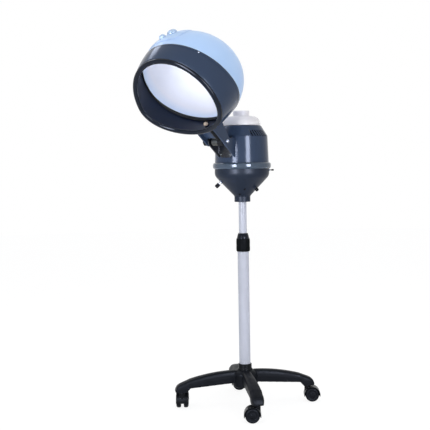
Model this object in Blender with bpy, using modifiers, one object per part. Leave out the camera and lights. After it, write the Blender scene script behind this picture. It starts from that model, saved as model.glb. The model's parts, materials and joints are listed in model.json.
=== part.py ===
"""Salon hair steamer on a rolling stand, modelled as the separate pieces it is built from.

Lengths are metres and +Z is up. The hood faces -Y. While the pieces are made the post stands on the
Z axis with the floor at zero. At the end the whole stand is moved so that the origin lies at the
bottom centre of the object.
"""
import math

import bmesh
import bpy
from mathutils import Matrix, Vector

# Fits and facets
CLEARANCE = 0.0003
TURNING_GAP = 0.0005
CUT_MARGIN = 0.004
MERGE_DISTANCE = 0.00001
ROUND_STEPS = 28
SMALL_STEPS = 12
WHEEL_STEPS = 20
HOOD_STEPS = 32

# Casters
WHEEL_RADIUS = 0.025
WHEEL_WIDTH = 0.016
WHEEL_ROUNDING = 0.004
AXLE_RADIUS = 0.004
AXLE_BOSS_RADIUS = 0.010
WEB_THICKNESS = 0.009
WHEEL_SIDE_GAP = 0.001
COVER_GAP = 0.0015
COVER_WALL = 0.0025
COVER_DROP_ANGLE = 12.0
CASTER_TRAIL = 0.017
STEM_RADIUS = 0.0055
STEM_BOSS_RADIUS = 0.0105
STEM_BOSS_HEIGHT = 0.004
STEM_DEPTH = 0.024
CASTER_HEADINGS = (215.0, 35.0, 35.0, 125.0)

# Base with four legs
LEG_FIRST_ANGLE = -45.0
LEG_STEM_REACH = 0.227
LEG_TIP_OVERHANG = 0.0245
LEG_ROOT_REACH = 0.032
LEG_ROOT_WIDTH = 0.034
LEG_TIP_WIDTH = 0.044
LEG_ARCH = 0.025
LEG_BELLY_FALL = 0.010
LEG_ROOT_HEIGHT = 0.043
LEG_END_HEIGHT = 0.0295
LEG_CHAMFER = 0.010
LEG_EDGE_SHARE = 0.3
LEG_SOCKET_HALF_LENGTH = 0.016
LEG_SOCKET_SLOPE = 0.012
LEG_CURVE_POWER = 2.0
LEG_BELLY_STATIONS = (0.0, 0.3, 0.55, 0.8, 1.0)
NOSE_LENGTH = 0.009
NOSE_DROP = 0.018
NOSE_NARROWING = 0.78
TIP_EDGE_HEIGHT = 0.012
HUB_RADIUS = 0.044
HUB_DEPTH_BELOW_LEGS = 0.015
HUB_ROUNDING = 0.005
HUB_SHOULDER_DROP = 0.012
COLLAR_WALL = 0.004
COLLAR_HEIGHT = 0.022
POST_SEAT_HEIGHT = 0.016
POST_BOLT_RADIUS = 0.005
POST_BOLT_HEAD_RADIUS = 0.0095
POST_BOLT_HEAD_HEIGHT = 0.006
POST_BOLT_RECESS = 0.0015
POST_PLUG_LENGTH = 0.030

# Telescopic post
UPPER_POST_RADIUS = 0.014
POST_STEP = 0.006
POST_WALL = 0.002
LOWER_POST_TOP = 0.580
POST_OVERLAP = 0.245
POST_SHOWN = 0.1121
POST_IN_NECK = 0.0534
BUSH_FLOOR = 0.003
BUSH_HEIGHT = 0.040

# Twist clamp
CLAMP_GRIP = 0.0325
CLAMP_RISE = 0.014
CLAMP_TAPER = 0.0185
CLAMP_WALL = 0.0046
CLAMP_MOUTH_WALL = 0.0046
CLAMP_ROUNDING = 0.003
COLLET_INSERT = 0.024
COLLET_HEAD_HEIGHT = 0.017
COLLET_HEAD_STEP = 0.0015

# Boiler bowl with its neck
NECK_HEIGHT = 0.0209
NECK_WALL = 0.0144
POST_SOCKET_ROOM = 0.0055
CONE_HEIGHT = 0.059
CONE_TOP_STEP = 0.0122
BOWL_RADIUS = 0.0972
BOWL_SHOULDER = 0.0375
SHELL_WALL = 0.003
BOWL_ARC_POINTS = 3

# Band, mounting plate, casing
BAND_HEIGHT = 0.022
BAND_BULGE = 0.0055
BAND_SHOULDER_SHARE = 0.7
BAND_WALL = 0.0018
SEAM_STEP = 0.001
SEAM_HEIGHT = 0.011
PLATE_THICKNESS = 0.002
CASING_RISE = 0.115
CASING_TAPER = 0.0032

# Vented top cover
COVER_HEIGHT = 0.038
COVER_TOP_STEP = 0.014
COVER_WAIST_HEIGHT = 0.015
COVER_WAIST_STEP = 0.0085
COVER_SKIRT = 0.006
TOP_COVER_WALL = 0.0025
VENT_COUNT = 7
VENT_FIRST_ANGLE = -39.0
VENT_STEP_ANGLE = 7.0
VENT_WIDTH = 0.0034
VENT_LENGTH = 0.024
VENT_LEAN = 20.0
VENT_HEIGHT = 0.014

# Water tank in its seat
TANK_SET_IN = 0.0015
TANK_FLOOR_STEP = 0.0015
TANK_SIDE_HEIGHT = 0.019
TANK_SIDE_STEP = 0.0025
TANK_SHOULDER_HEIGHT = 0.033
TANK_SHOULDER_STEP = 0.017
TANK_GRIP_RADIUS = 0.029
TANK_GRIP_HEIGHT = 0.0535
TANK_EDGE = 0.0025
TANK_WALL = 0.0025
TANK_NECK_RADIUS = 0.030
TANK_NECK_LENGTH = 0.030
TANK_CAP_HEIGHT = 0.009
TANK_CAP_HOLE = 0.004
SEAT_WALL = 0.003
SEAT_FLANGE = 0.009
SEAT_DEPTH = 0.046

# Boiling pot and what is fixed to the mounting plate
POT_ROOM = 0.020
POT_BELOW_CASING_TOP = 0.007
POT_WALL = 0.002
POT_LID_HOLE = 0.036
POT_LID_THICKNESS = 0.002
ELEMENT_RADIUS = 0.048
ELEMENT_ROD_RADIUS = 0.0035
ELEMENT_HEIGHT = 0.010
ELEMENT_LEG_ANGLE = 14.0
ELEMENT_LEG_DROP = 0.010
ELEMENT_POINTS = 22
THERMOSTAT_RADIUS = 0.012
THERMOSTAT_HEIGHT = 0.010
THERMOSTAT_OFFSET = 0.036
BOARD_WIDTH = 0.052
BOARD_LENGTH = 0.078
BOARD_THICKNESS = 0.0016
BOARD_DROP = 0.012
BOARD_OFFSET = -0.040
SPACER_RADIUS = 0.003
SPACER_INSET = 0.006

# Hinge between casing and hood
PIVOT_REACH = 0.030
PIVOT_BELOW_CASING_TOP = 0.0194
EAR_INNER = 0.030
EAR_THICKNESS = 0.006
EAR_RADIUS = 0.014
YOKE_STAND_OFF = 0.0158
YOKE_DEPTH = 0.040
YOKE_BELOW_PIVOT = 0.0556
YOKE_ABOVE_PIVOT = 0.0174
CHEEK_THICKNESS = 0.005
CHEEK_RADIUS = 0.0165
CHEEK_BITE = 0.012
CHEEK_START = 0.006
CHEEK_LENGTH = 0.066
SADDLE_THICKNESS = 0.006
PIVOT_RADIUS = 0.005
PIVOT_HEAD_RADIUS = 0.0085
PIVOT_HEAD_HEIGHT = 0.0045
KNOB_RADIUS = 0.0145
KNOB_HEIGHT = 0.015
KNOB_ROUNDING = 0.003
KNOB_FLUTES = 7
KNOB_FLUTE_RADIUS = 0.0035
YOKE_SCREW_RADIUS = 0.0025
YOKE_SCREW_HEAD = 0.0048
YOKE_SCREW_HEAD_HEIGHT = 0.003
YOKE_SCREW_SIDE = 0.019
YOKE_SCREW_RISE = 0.011
BRACKET_SCREW_SIDE = 0.021
BRACKET_SCREW_ALONG = 0.022
BRACKET_SCREW_REACH = 0.0095

# Steam joint on the hinge axis
OUTLET_OFFSET = -0.007
OUTLET_RADIUS = 0.0095
OUTLET_BORE = 0.007
OUTLET_IN_POT = 0.006
DRUM_RADIUS = 0.0145
DRUM_LENGTH = 0.023
SPIGOT_RADIUS = 0.0105
SPIGOT_LENGTH = 0.020
SPIGOT_BORE = 0.0062
ELBOW_WALL = 0.004
ELBOW_END = 0.002
ELBOW_PIPE_RADIUS = 0.0085
ELBOW_BORE = 0.006
ELBOW_LANDING = 0.053
NOZZLE_STAND_OFF = 0.0085
NOZZLE_GRIP = 0.007
NOZZLE_LENGTH = 0.012
NOZZLE_WALL = 0.0025
NOZZLE_HOLE = 0.003

# Hood: the opening, and the joint between ring and dome
RIM_TILT = 36.5
RIM_BEFORE_PIVOT = 0.220
RIM_ABOVE_PIVOT = 0.1084
RIM_HALF_WIDTH = 0.168
RIM_FOREHEAD = 0.1781
RIM_NAPE = 0.127
RIM_NAPE_RECESS = 0.020
JOINT_TILT = 47.0
JOINT_BEFORE_PIVOT = 0.141
JOINT_ABOVE_PIVOT = 0.1819
JOINT_WIDER = 0.011
JOINT_FOREHEAD_MORE = 0.0059
JOINT_NAPE_MORE = 0.021
DOME_DEPTH = 0.181
DOME_CLIMBS = (6.0, 18.0, 31.0, 45.0, 60.0, 75.0)
RING_WALL = 0.004
DOME_WALL = 0.003
RING_STATIONS = (0.0, 0.5, 1.0)
LIP_DEPTH = 0.010
LIP_WIDTH = 0.018
LIP_ROUNDING = 0.004
GASKET_HEIGHT = 0.016
GASKET_WIDTH = 0.007
LINER_GAP = 0.003
LINER_WALL = 0.002
LINER_SKIRT = 0.012
PLUG_RISE = 0.010

# Crown panel and its two caps
PANEL_THICKNESS = 0.003
PANEL_FIRST_COLUMN = 7
PANEL_LAST_COLUMN = 12
PANEL_FIRST_ROW = 1
PANEL_LAST_ROW = 4
CAP_RADII = (0.0125, 0.0175)
CAP_HEIGHTS = (0.011, 0.012)
CAP_TURNS = (15.0, 7.0)
CAP_CLIMBS = (16.0, 24.0)
CAP_FOOT_DEPTH = 0.008
CAP_CROWN_SHARES = (0.55, 0.9)
CAP_SHOULDER_SHARES = (0.9, 0.6)
NORMAL_STEP = 0.5

# Controls, screws and gland on the bowl: where they stand and how far they reach
DRAIN_ANGLE = 215.0
DRAIN_RISE = 0.0495
CONTROL_ANGLE = 0.0
CONTROL_RISE = 0.029
GLAND_ANGLE = 90.0
GLAND_RISE = 0.0395
SHAFT_RADIUS = 0.003
SHAFT_FLANGE_RADIUS = 0.0055
SHAFT_FLANGE_HEIGHT = 0.002
SHAFT_LENGTHS = (0.008, 0.004)
TURN_KNOB_RADII = (0.0068, 0.0060)
TURN_KNOB_LENGTHS = (0.017, 0.010)
TURN_KNOB_ROUNDING = 0.0012
TOGGLE_ANGLE = 35.0
TOGGLE_BELOW_BAND = 0.0055
TOGGLE_BUSH_RADIUS = 0.004
TOGGLE_BUSH_HEIGHT = 0.003
TOGGLE_RADIUS = 0.0019
TOGGLE_LENGTH = 0.013
GLAND_NUT_RADIUS = 0.011
GLAND_NUT_HEIGHT = 0.008
GLAND_DOME_RADIUS = 0.0085
GLAND_DOME_HEIGHT = 0.009
GLAND_TIP_RADIUS = 0.006
CONE_SCREW_ANGLES = (-72.0, -47.0)
CONE_SCREW_RISES = (0.0075, 0.0255)
CONE_SCREW_RADIUS = 0.002
CONE_SCREW_HEAD = 0.0038
CONE_SCREW_HEAD_HEIGHT = 0.002
THROUGH_WALL = 0.0045

# Heights and radii that follow from the sizes above
LEG_TIP_REACH = LEG_STEM_REACH + LEG_TIP_OVERHANG
COVER_RADIUS = WHEEL_RADIUS + COVER_GAP + COVER_WALL
LEG_TIP_BOTTOM = WHEEL_RADIUS + COVER_RADIUS + STEM_BOSS_HEIGHT
LEG_UNDERSIDE = LEG_TIP_BOTTOM + LEG_ARCH
LEG_ROOT_TOP = LEG_UNDERSIDE + LEG_ROOT_HEIGHT
LEG_END_TOP = LEG_UNDERSIDE - LEG_BELLY_FALL + LEG_END_HEIGHT
LEG_COUNT = len(CASTER_HEADINGS)
HUB_BOTTOM = LEG_UNDERSIDE - HUB_DEPTH_BELOW_LEGS
POST_SEAT = HUB_BOTTOM + POST_SEAT_HEIGHT
CASTER_HALF_WIDTH = WEB_THICKNESS / 2 + WHEEL_SIDE_GAP + WHEEL_WIDTH
LOWER_POST_RADIUS = UPPER_POST_RADIUS + POST_STEP
COLLAR_RADIUS = LOWER_POST_RADIUS + COLLAR_WALL
UPPER_POST_BOTTOM = LOWER_POST_TOP - POST_OVERLAP
CLAMP_RADIUS = LOWER_POST_RADIUS + CLAMP_WALL
CLAMP_TOP_RADIUS = UPPER_POST_RADIUS + CLAMP_MOUTH_WALL
COLLET_HEAD_RADIUS = LOWER_POST_RADIUS + COLLET_HEAD_STEP
CLAMP_BOTTOM = LOWER_POST_TOP - CLAMP_GRIP
CLAMP_SHOULDER = LOWER_POST_TOP + CLAMP_RISE
CLAMP_TOP = CLAMP_SHOULDER + CLAMP_TAPER
NECK_BOTTOM = CLAMP_TOP + POST_SHOWN
NECK_TOP = NECK_BOTTOM + NECK_HEIGHT
NECK_RADIUS = UPPER_POST_RADIUS + NECK_WALL
POST_SOCKET_RADIUS = UPPER_POST_RADIUS + POST_SOCKET_ROOM
UPPER_POST_TOP = NECK_BOTTOM + POST_IN_NECK
CONE_TOP = NECK_TOP + CONE_HEIGHT
CONE_TOP_RADIUS = BOWL_RADIUS - CONE_TOP_STEP
BAND_BOTTOM = CONE_TOP + BOWL_SHOULDER
SEAM_RADIUS = BOWL_RADIUS - SEAM_STEP
CASING_TOP = BAND_BOTTOM + CASING_RISE
CASING_TOP_RADIUS = SEAM_RADIUS - CASING_TAPER
COVER_TOP = CASING_TOP + COVER_HEIGHT
COVER_WAIST_RADIUS = CASING_TOP_RADIUS - COVER_WAIST_STEP
COVER_TOP_RADIUS = COVER_WAIST_RADIUS - COVER_TOP_STEP
TANK_RADIUS = COVER_TOP_RADIUS - TANK_SET_IN
TANK_FLOOR_RADIUS = TANK_RADIUS - TANK_FLOOR_STEP
TANK_SIDE_RADIUS = TANK_RADIUS - TANK_SIDE_STEP
TANK_SHOULDER_RADIUS = TANK_RADIUS - TANK_SHOULDER_STEP
POT_RADIUS = CASING_TOP_RADIUS - SHELL_WALL - POT_ROOM
POT_TOP = CASING_TOP - POT_BELOW_CASING_TOP
POST_BORE = UPPER_POST_RADIUS + CLEARANCE
SLEEVE_RADIUS = LOWER_POST_RADIUS - POST_WALL - CLEARANCE
SEAM_TOP = BAND_BOTTOM + SEAM_HEIGHT
PLATE_BOTTOM = SEAM_TOP + CLEARANCE
PLATE_TOP = PLATE_BOTTOM + PLATE_THICKNESS
CASING_BOTTOM = PLATE_TOP + CLEARANCE
BAND_TOP = BAND_BOTTOM + BAND_HEIGHT
BAND_BORE = SEAM_RADIUS + CLEARANCE
POT_BOTTOM = PLATE_TOP + CLEARANCE
TANK_BOTTOM = COVER_TOP + CLEARANCE
SEAT_BORE = TANK_NECK_RADIUS + CLEARANCE
SEAT_RADIUS = SEAT_BORE + SEAT_WALL
CHEEK_INNER = EAR_INNER + EAR_THICKNESS + CLEARANCE
CHEEK_OUTER = CHEEK_INNER + CHEEK_THICKNESS
YOKE_FRONT = SEAM_RADIUS + YOKE_STAND_OFF
PIVOT_FORWARD = YOKE_FRONT + PIVOT_REACH
PIVOT_HEIGHT = CASING_TOP - PIVOT_BELOW_CASING_TOP
PIVOT = Vector((0.0, -PIVOT_FORWARD, PIVOT_HEIGHT))
YOKE_BOTTOM = PIVOT_HEIGHT - YOKE_BELOW_PIVOT
YOKE_TOP = PIVOT_HEIGHT + YOKE_ABOVE_PIVOT
YOKE_SCREW_HEIGHT = YOKE_BOTTOM + YOKE_SCREW_RISE
RIM_FORWARD = PIVOT_FORWARD + RIM_BEFORE_PIVOT
RIM_HEIGHT = PIVOT_HEIGHT + RIM_ABOVE_PIVOT
JOINT_FORWARD = PIVOT_FORWARD + JOINT_BEFORE_PIVOT
JOINT_HEIGHT = PIVOT_HEIGHT + JOINT_ABOVE_PIVOT
JOINT_HALF_WIDTH = RIM_HALF_WIDTH + JOINT_WIDER
JOINT_FOREHEAD = RIM_FOREHEAD + JOINT_FOREHEAD_MORE
JOINT_NAPE = RIM_NAPE + JOINT_NAPE_MORE
DRAIN_HEIGHT = NECK_TOP + DRAIN_RISE
CONTROL_HEIGHT = NECK_TOP + CONTROL_RISE
GLAND_HEIGHT = NECK_TOP + GLAND_RISE
CONE_SCREW_HEIGHTS = tuple(NECK_TOP + rise for rise in CONE_SCREW_RISES)
TOGGLE_HEIGHT = BAND_BOTTOM - TOGGLE_BELOW_BAND

# The views that a flat outline can be drawn in: from the side (Y, Z) and from the front (X, Z)
SIDE_VIEW = Matrix(((0, 0, 1, 0), (1, 0, 0, 0), (0, 1, 0, 0), (0, 0, 0, 1)))
FRONT_VIEW = Matrix(((1, 0, 0, 0), (0, 0, -1, 0), (0, 1, 0, 0), (0, 0, 0, 1)))

# Finishes: sRGB colour, roughness, metallic
FINISHES = {
    "black_moulded_plastic": ("26282F", 0.42, 0.0),
    "black_grip_plastic": ("16181C", 0.35, 0.0),
    "white_painted_steel": ("D4D6E6", 0.35, 0.0),
    "slate_gloss_plastic": ("3A4254", 0.18, 0.0),
    "band_gloss_plastic": ("46525F", 0.15, 0.0),
    "bowl_satin_plastic": ("3E4048", 0.38, 0.0),
    "blue_dome_plastic": ("B4CDF5", 0.25, 0.0),
    "pale_liner_plastic": ("E0E4F4", 0.40, 0.0),
    "clear_tank_plastic": ("E2DEE8", 0.20, 0.0),
    "beige_nozzle_plastic": ("D9C7B4", 0.45, 0.0),
    "bright_steel": ("C9CCD2", 0.25, 1.0),
    "pressed_steel": ("8A8D92", 0.40, 1.0),
    "element_steel": ("6B6660", 0.45, 1.0),
    "circuit_board": ("2F5D3A", 0.55, 0.0),
    "black_rubber": ("17181A", 0.60, 0.0),
}


def clear_scene():
    """Remove every object of the scene that the script starts in."""
    for old in list(bpy.data.objects):
        bpy.data.objects.remove(old, do_unlink=True)


def linear(hex_colour):
    """Turn an sRGB hex colour into linear values with full opacity."""
    values = []
    for start in (0, 2, 4):
        value = int(hex_colour[start:start + 2], 16) / 255
        values.append(value / 12.92 if value <= 0.04045 else ((value + 0.055) / 1.055) ** 2.4)
    return (*values, 1.0)


def make_materials():
    """Make one Principled material for each finish."""
    made = {}
    for name, (colour, roughness, metallic) in FINISHES.items():
        made[name] = bpy.data.materials.new(name)
        made[name].use_nodes = True
        shader = made[name].node_tree.nodes["Principled BSDF"]
        shader.inputs["Base Color"].default_value = linear(colour)
        shader.inputs["Roughness"].default_value = roughness
        shader.inputs["Metallic"].default_value = metallic
    return made


def new_collection(name):
    """Add a collection to the scene."""
    made = bpy.data.collections.new(name)
    bpy.context.scene.collection.children.link(made)
    return made


clear_scene()
MATERIALS = make_materials()
PARTS = new_collection("hair_steamer")
TOOLS = new_collection("cutters_and_guides")


def empty(name, place=(0.0, 0.0, 0.0), direction=(0.0, 0.0, 1.0), turn=0.0, parent=None):
    """Add an empty whose Z axis points along direction, turned about that axis by turn degrees."""
    made = bpy.data.objects.new(name, None)
    TOOLS.objects.link(made)
    aim = Vector((0, 0, 1)).rotation_difference(Vector(direction)).to_matrix().to_4x4()
    made.matrix_local = Matrix.Translation(place) @ aim @ Matrix.Rotation(math.radians(turn), 4, "Z")
    made.parent = parent
    bpy.context.view_layer.update()
    return made


def keep_place(piece, parent):
    """Parent a piece that was made in the stand's own coordinates, without moving it."""
    piece.parent = parent
    piece.matrix_parent_inverse = parent.matrix_world.inverted()


def add_piece(name, mesh, finish, parent, local=False):
    """Make an object of a mesh, on a parent empty; a local mesh is in that empty's own axes."""
    piece = bpy.data.objects.new(name, mesh)
    PARTS.objects.link(piece)
    mesh.materials.append(MATERIALS[finish])
    if local:
        piece.parent = parent
    else:
        keep_place(piece, parent)
    return piece


def as_tool(piece):
    """Hide a cutter or guide and move it to the tools' collection."""
    if piece.name in PARTS.objects:
        PARTS.objects.unlink(piece)
        TOOLS.objects.link(piece)
    piece.hide_render = True
    piece.display_type = "WIRE"


def combine(piece, tool, operation):
    """Add a Boolean modifier with a hidden tool to a piece."""
    as_tool(tool)
    boolean = piece.modifiers.new(operation.lower() + "_" + tool.name, "BOOLEAN")
    boolean.operation = operation
    boolean.object = tool


def cut(piece, *tools):
    """Cut tools out of a piece."""
    for tool in tools:
        combine(piece, tool, "DIFFERENCE")


def fuse(piece, *tools):
    """Join guides to a piece as one solid."""
    for tool in tools:
        combine(piece, tool, "UNION")


def turned(name, profile, finish, parent, local=False, steps=ROUND_STEPS):
    """Turn a profile of (radius, height) points, running down its outer side, about the Z axis."""
    mesh = bpy.data.meshes.new(name)
    edges = [(k, k + 1) for k in range(len(profile) - 1)]
    if profile[0][0] > 0:
        edges.append((len(profile) - 1, 0))
    mesh.from_pydata([(radius, 0.0, height) for radius, height in profile], edges, [])
    piece = add_piece(name, mesh, finish, parent, local)
    screw = piece.modifiers.new("turn", "SCREW")
    screw.steps = steps
    screw.render_steps = steps
    screw.use_merge_vertices = True
    screw.merge_threshold = MERGE_DISTANCE
    return piece


def rod(name, radius, low, high, finish, parent, local=False, steps=SMALL_STEPS):
    """Make a plain round rod along Z."""
    profile = [(0.0, high), (radius, high), (radius, low), (0.0, low)]
    return turned(name, profile, finish, parent, local, steps)


def tube(name, bore, radius, low, high, finish, parent, local=False, steps=ROUND_STEPS):
    """Make a plain round tube along Z."""
    profile = [(radius, high), (radius, low), (bore, low), (bore, high)]
    return turned(name, profile, finish, parent, local, steps)


def block(name, low, high, finish, parent, local=False):
    """Make a box between two corners."""
    low, high = Vector(low), Vector(high)
    mesh = bpy.data.meshes.new(name)
    shape = bmesh.new()
    bmesh.ops.create_cube(shape, size=1.0)
    bmesh.ops.scale(shape, vec=high - low, verts=shape.verts)
    bmesh.ops.translate(shape, vec=(low + high) / 2, verts=shape.verts)
    shape.to_mesh(mesh)
    shape.free()
    return add_piece(name, mesh, finish, parent, local)


def mesh_of_curve(name, curve, matrix):
    """Turn a curve into a closed mesh in the place that matrix gives, and remove the curve."""
    holder = bpy.data.objects.new(name + "_curve", curve)
    TOOLS.objects.link(holder)
    graph = bpy.context.evaluated_depsgraph_get()
    mesh = bpy.data.meshes.new_from_object(holder.evaluated_get(graph))
    bpy.data.objects.remove(holder, do_unlink=True)
    shape = bmesh.new()
    shape.from_mesh(mesh)
    bmesh.ops.remove_doubles(shape, verts=shape.verts, dist=MERGE_DISTANCE)
    bmesh.ops.transform(shape, matrix=matrix, verts=shape.verts)
    bmesh.ops.recalc_face_normals(shape, faces=shape.faces)
    shape.to_mesh(mesh)
    shape.free()
    mesh.name = name
    mesh.materials.clear()
    return mesh


def plate(name, outline, thickness, middle, view, finish, parent, local=False):
    """Make a flat plate of a closed outline, drawn in a view, with its middle that far along it."""
    curve = bpy.data.curves.new(name, "CURVE")
    curve.dimensions = "2D"
    curve.fill_mode = "BOTH"
    curve.extrude = thickness / 2
    spline = curve.splines.new("POLY")
    spline.points.add(len(outline) - 1)
    for point, (across, up) in zip(spline.points, outline):
        point.co = (across, up, 0.0, 1.0)
    spline.use_cyclic_u = True
    mesh = mesh_of_curve(name, curve, view @ Matrix.Translation((0, 0, middle)))
    return add_piece(name, mesh, finish, parent, local)


def loft(name, sections, finish, parent, closed=False, pole_start=False, pole_end=False):
    """Join unlike sections of equal point counts, with caps, poles or a closed ring of sections."""
    shape = bmesh.new()
    rows = [[shape.verts.new(point) for point in section] for section in sections]
    pairs = list(zip(rows, rows[1:]))
    if closed:
        pairs.append((rows[-1], rows[0]))
    for first, second in pairs:
        count = max(len(first), len(second))
        for k in range(count):
            corners = [first[k % len(first)], first[(k + 1) % len(first)],
                       second[(k + 1) % len(second)], second[k % len(second)]]
            shape.faces.new(list(dict.fromkeys(corners)))
    if not closed and not pole_start:
        shape.faces.new(rows[0])
    if not closed and not pole_end:
        shape.faces.new(rows[-1])
    bmesh.ops.recalc_face_normals(shape, faces=shape.faces)
    mesh = bpy.data.meshes.new(name)
    shape.to_mesh(mesh)
    shape.free()
    return add_piece(name, mesh, finish, parent)


def arc(centre, radius, first, last, count):
    """Points on an arc between two angles in degrees, both ends included."""
    points = []
    for k in range(count + 1):
        angle = math.radians(first + (last - first) * k / count)
        points.append((centre[0] + radius * math.cos(angle), centre[1] + radius * math.sin(angle)))
    return points


def hull(points):
    """The convex outline round a set of flat points."""
    ordered = sorted(set(points))
    outline = []
    for run in (ordered, ordered[::-1]):
        side = []
        for point in run:
            while len(side) > 1 and cross(side[-2], side[-1], point) <= 0:
                side.pop()
            side.append(point)
        outline += side[:-1]
    return outline


def cross(origin, first, second):
    """Twice the signed area of a flat triangle."""
    return ((first[0] - origin[0]) * (second[1] - origin[1])
            - (first[1] - origin[1]) * (second[0] - origin[0]))


def smooth_round_pieces():
    """Shade every piece smooth, with sharp edges kept."""
    for piece in PARTS.objects:
        piece.data.shade_smooth()
        piece.data.set_sharp_from_angle(angle=math.radians(35))


# Base

def leg_section(reach, width, bottom, top):
    """A leg's cross-section: flat below, with its upper edges rounded off."""
    half = width / 2
    edge = min(LEG_CHAMFER, (top - bottom) / 3)
    bevel = edge * LEG_EDGE_SHARE
    outline = [(-half, bottom), (half, bottom), (half, top - edge), (half - bevel, top - bevel),
               (half - edge, top), (edge - half, top), (bevel - half, top - bevel), (-half, top - edge)]
    return [Vector((reach, across, height)) for across, height in outline]


def leg_sections():
    """The sections of a leg from the hub to its rounded nose, along +X."""
    socket_start = LEG_STEM_REACH - LEG_SOCKET_HALF_LENGTH
    belly_end = socket_start - LEG_SOCKET_SLOPE
    sections = []
    for share in LEG_BELLY_STATIONS:
        reach = LEG_ROOT_REACH + (belly_end - LEG_ROOT_REACH) * share
        width = LEG_ROOT_WIDTH + (LEG_TIP_WIDTH - LEG_ROOT_WIDTH) * share
        top = LEG_ROOT_TOP - (LEG_ROOT_TOP - LEG_END_TOP) * share ** LEG_CURVE_POWER
        sections.append(leg_section(reach, width, LEG_UNDERSIDE - LEG_BELLY_FALL * share, top))
    fall = (LEG_ROOT_TOP - LEG_END_TOP) / (belly_end - LEG_ROOT_REACH) * LEG_CURVE_POWER
    stem_top = LEG_END_TOP - fall * (LEG_STEM_REACH - belly_end)
    socket_top = LEG_END_TOP - fall * LEG_SOCKET_SLOPE
    nose_reach = LEG_TIP_REACH - NOSE_LENGTH
    sections.append(leg_section(socket_start, LEG_TIP_WIDTH, LEG_TIP_BOTTOM, socket_top))
    sections.append(leg_section(LEG_STEM_REACH, LEG_TIP_WIDTH, LEG_TIP_BOTTOM, stem_top))
    sections.append(leg_section(nose_reach, LEG_TIP_WIDTH, LEG_TIP_BOTTOM, stem_top - NOSE_DROP / 2))
    sections.append(leg_section(LEG_TIP_REACH, LEG_TIP_WIDTH * NOSE_NARROWING, LEG_TIP_BOTTOM,
                                LEG_TIP_BOTTOM + TIP_EDGE_HEIGHT))
    return sections


def leg_turn(index):
    """A leg's angle about the post, in degrees from +X."""
    return LEG_FIRST_ANGLE + 360.0 * index / LEG_COUNT


def make_base(stand):
    """The hub and its four legs as one moulding, with the post's socket and the casters' sockets."""
    collar_top = LEG_ROOT_TOP + COLLAR_HEIGHT
    socket = LOWER_POST_RADIUS + CLEARANCE
    bolt_hole = POST_BOLT_RADIUS + CLEARANCE
    recess_radius = POST_BOLT_HEAD_RADIUS + POST_BOLT_RECESS
    recess_top = HUB_BOTTOM + POST_BOLT_HEAD_HEIGHT + POST_BOLT_RECESS
    base = turned("base_star", [
        (COLLAR_RADIUS, collar_top),
        (COLLAR_RADIUS, LEG_ROOT_TOP),
        (HUB_RADIUS - HUB_ROUNDING, LEG_ROOT_TOP - HUB_ROUNDING),
        (HUB_RADIUS, LEG_ROOT_TOP - HUB_SHOULDER_DROP),
        (HUB_RADIUS, HUB_BOTTOM + HUB_ROUNDING),
        (HUB_RADIUS - HUB_ROUNDING, HUB_BOTTOM),
        (recess_radius, HUB_BOTTOM),
        (recess_radius, recess_top),
        (bolt_hole, recess_top),
        (bolt_hole, POST_SEAT),
        (socket, POST_SEAT),
        (socket, collar_top),
    ], "black_moulded_plastic", stand)
    for index in range(LEG_COUNT):
        arm = empty("leg_%d_direction" % (index + 1), turn=leg_turn(index), parent=stand)
        leg = loft("leg_%d_guide" % (index + 1), leg_sections(), "black_moulded_plastic", stand)
        leg.parent = arm
        leg.matrix_parent_inverse.identity()
        fuse(base, leg)
        hole = rod("stem_hole_%d" % (index + 1), STEM_RADIUS + CLEARANCE, LEG_TIP_BOTTOM - CUT_MARGIN,
                   LEG_TIP_BOTTOM + STEM_DEPTH + CLEARANCE, "black_moulded_plastic", arm, local=True)
        hole.location.x = LEG_STEM_REACH
        cut(base, hole)
    bolt_top = POST_SEAT + POST_PLUG_LENGTH - CLEARANCE
    head_top = recess_top - CLEARANCE
    turned("post_bolt", [
        (0.0, bolt_top), (POST_BOLT_RADIUS, bolt_top), (POST_BOLT_RADIUS, head_top),
        (POST_BOLT_HEAD_RADIUS, head_top), (POST_BOLT_HEAD_RADIUS, head_top - POST_BOLT_HEAD_HEIGHT),
        (0.0, head_top - POST_BOLT_HEAD_HEIGHT),
    ], "bright_steel", stand, steps=SMALL_STEPS)


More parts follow.
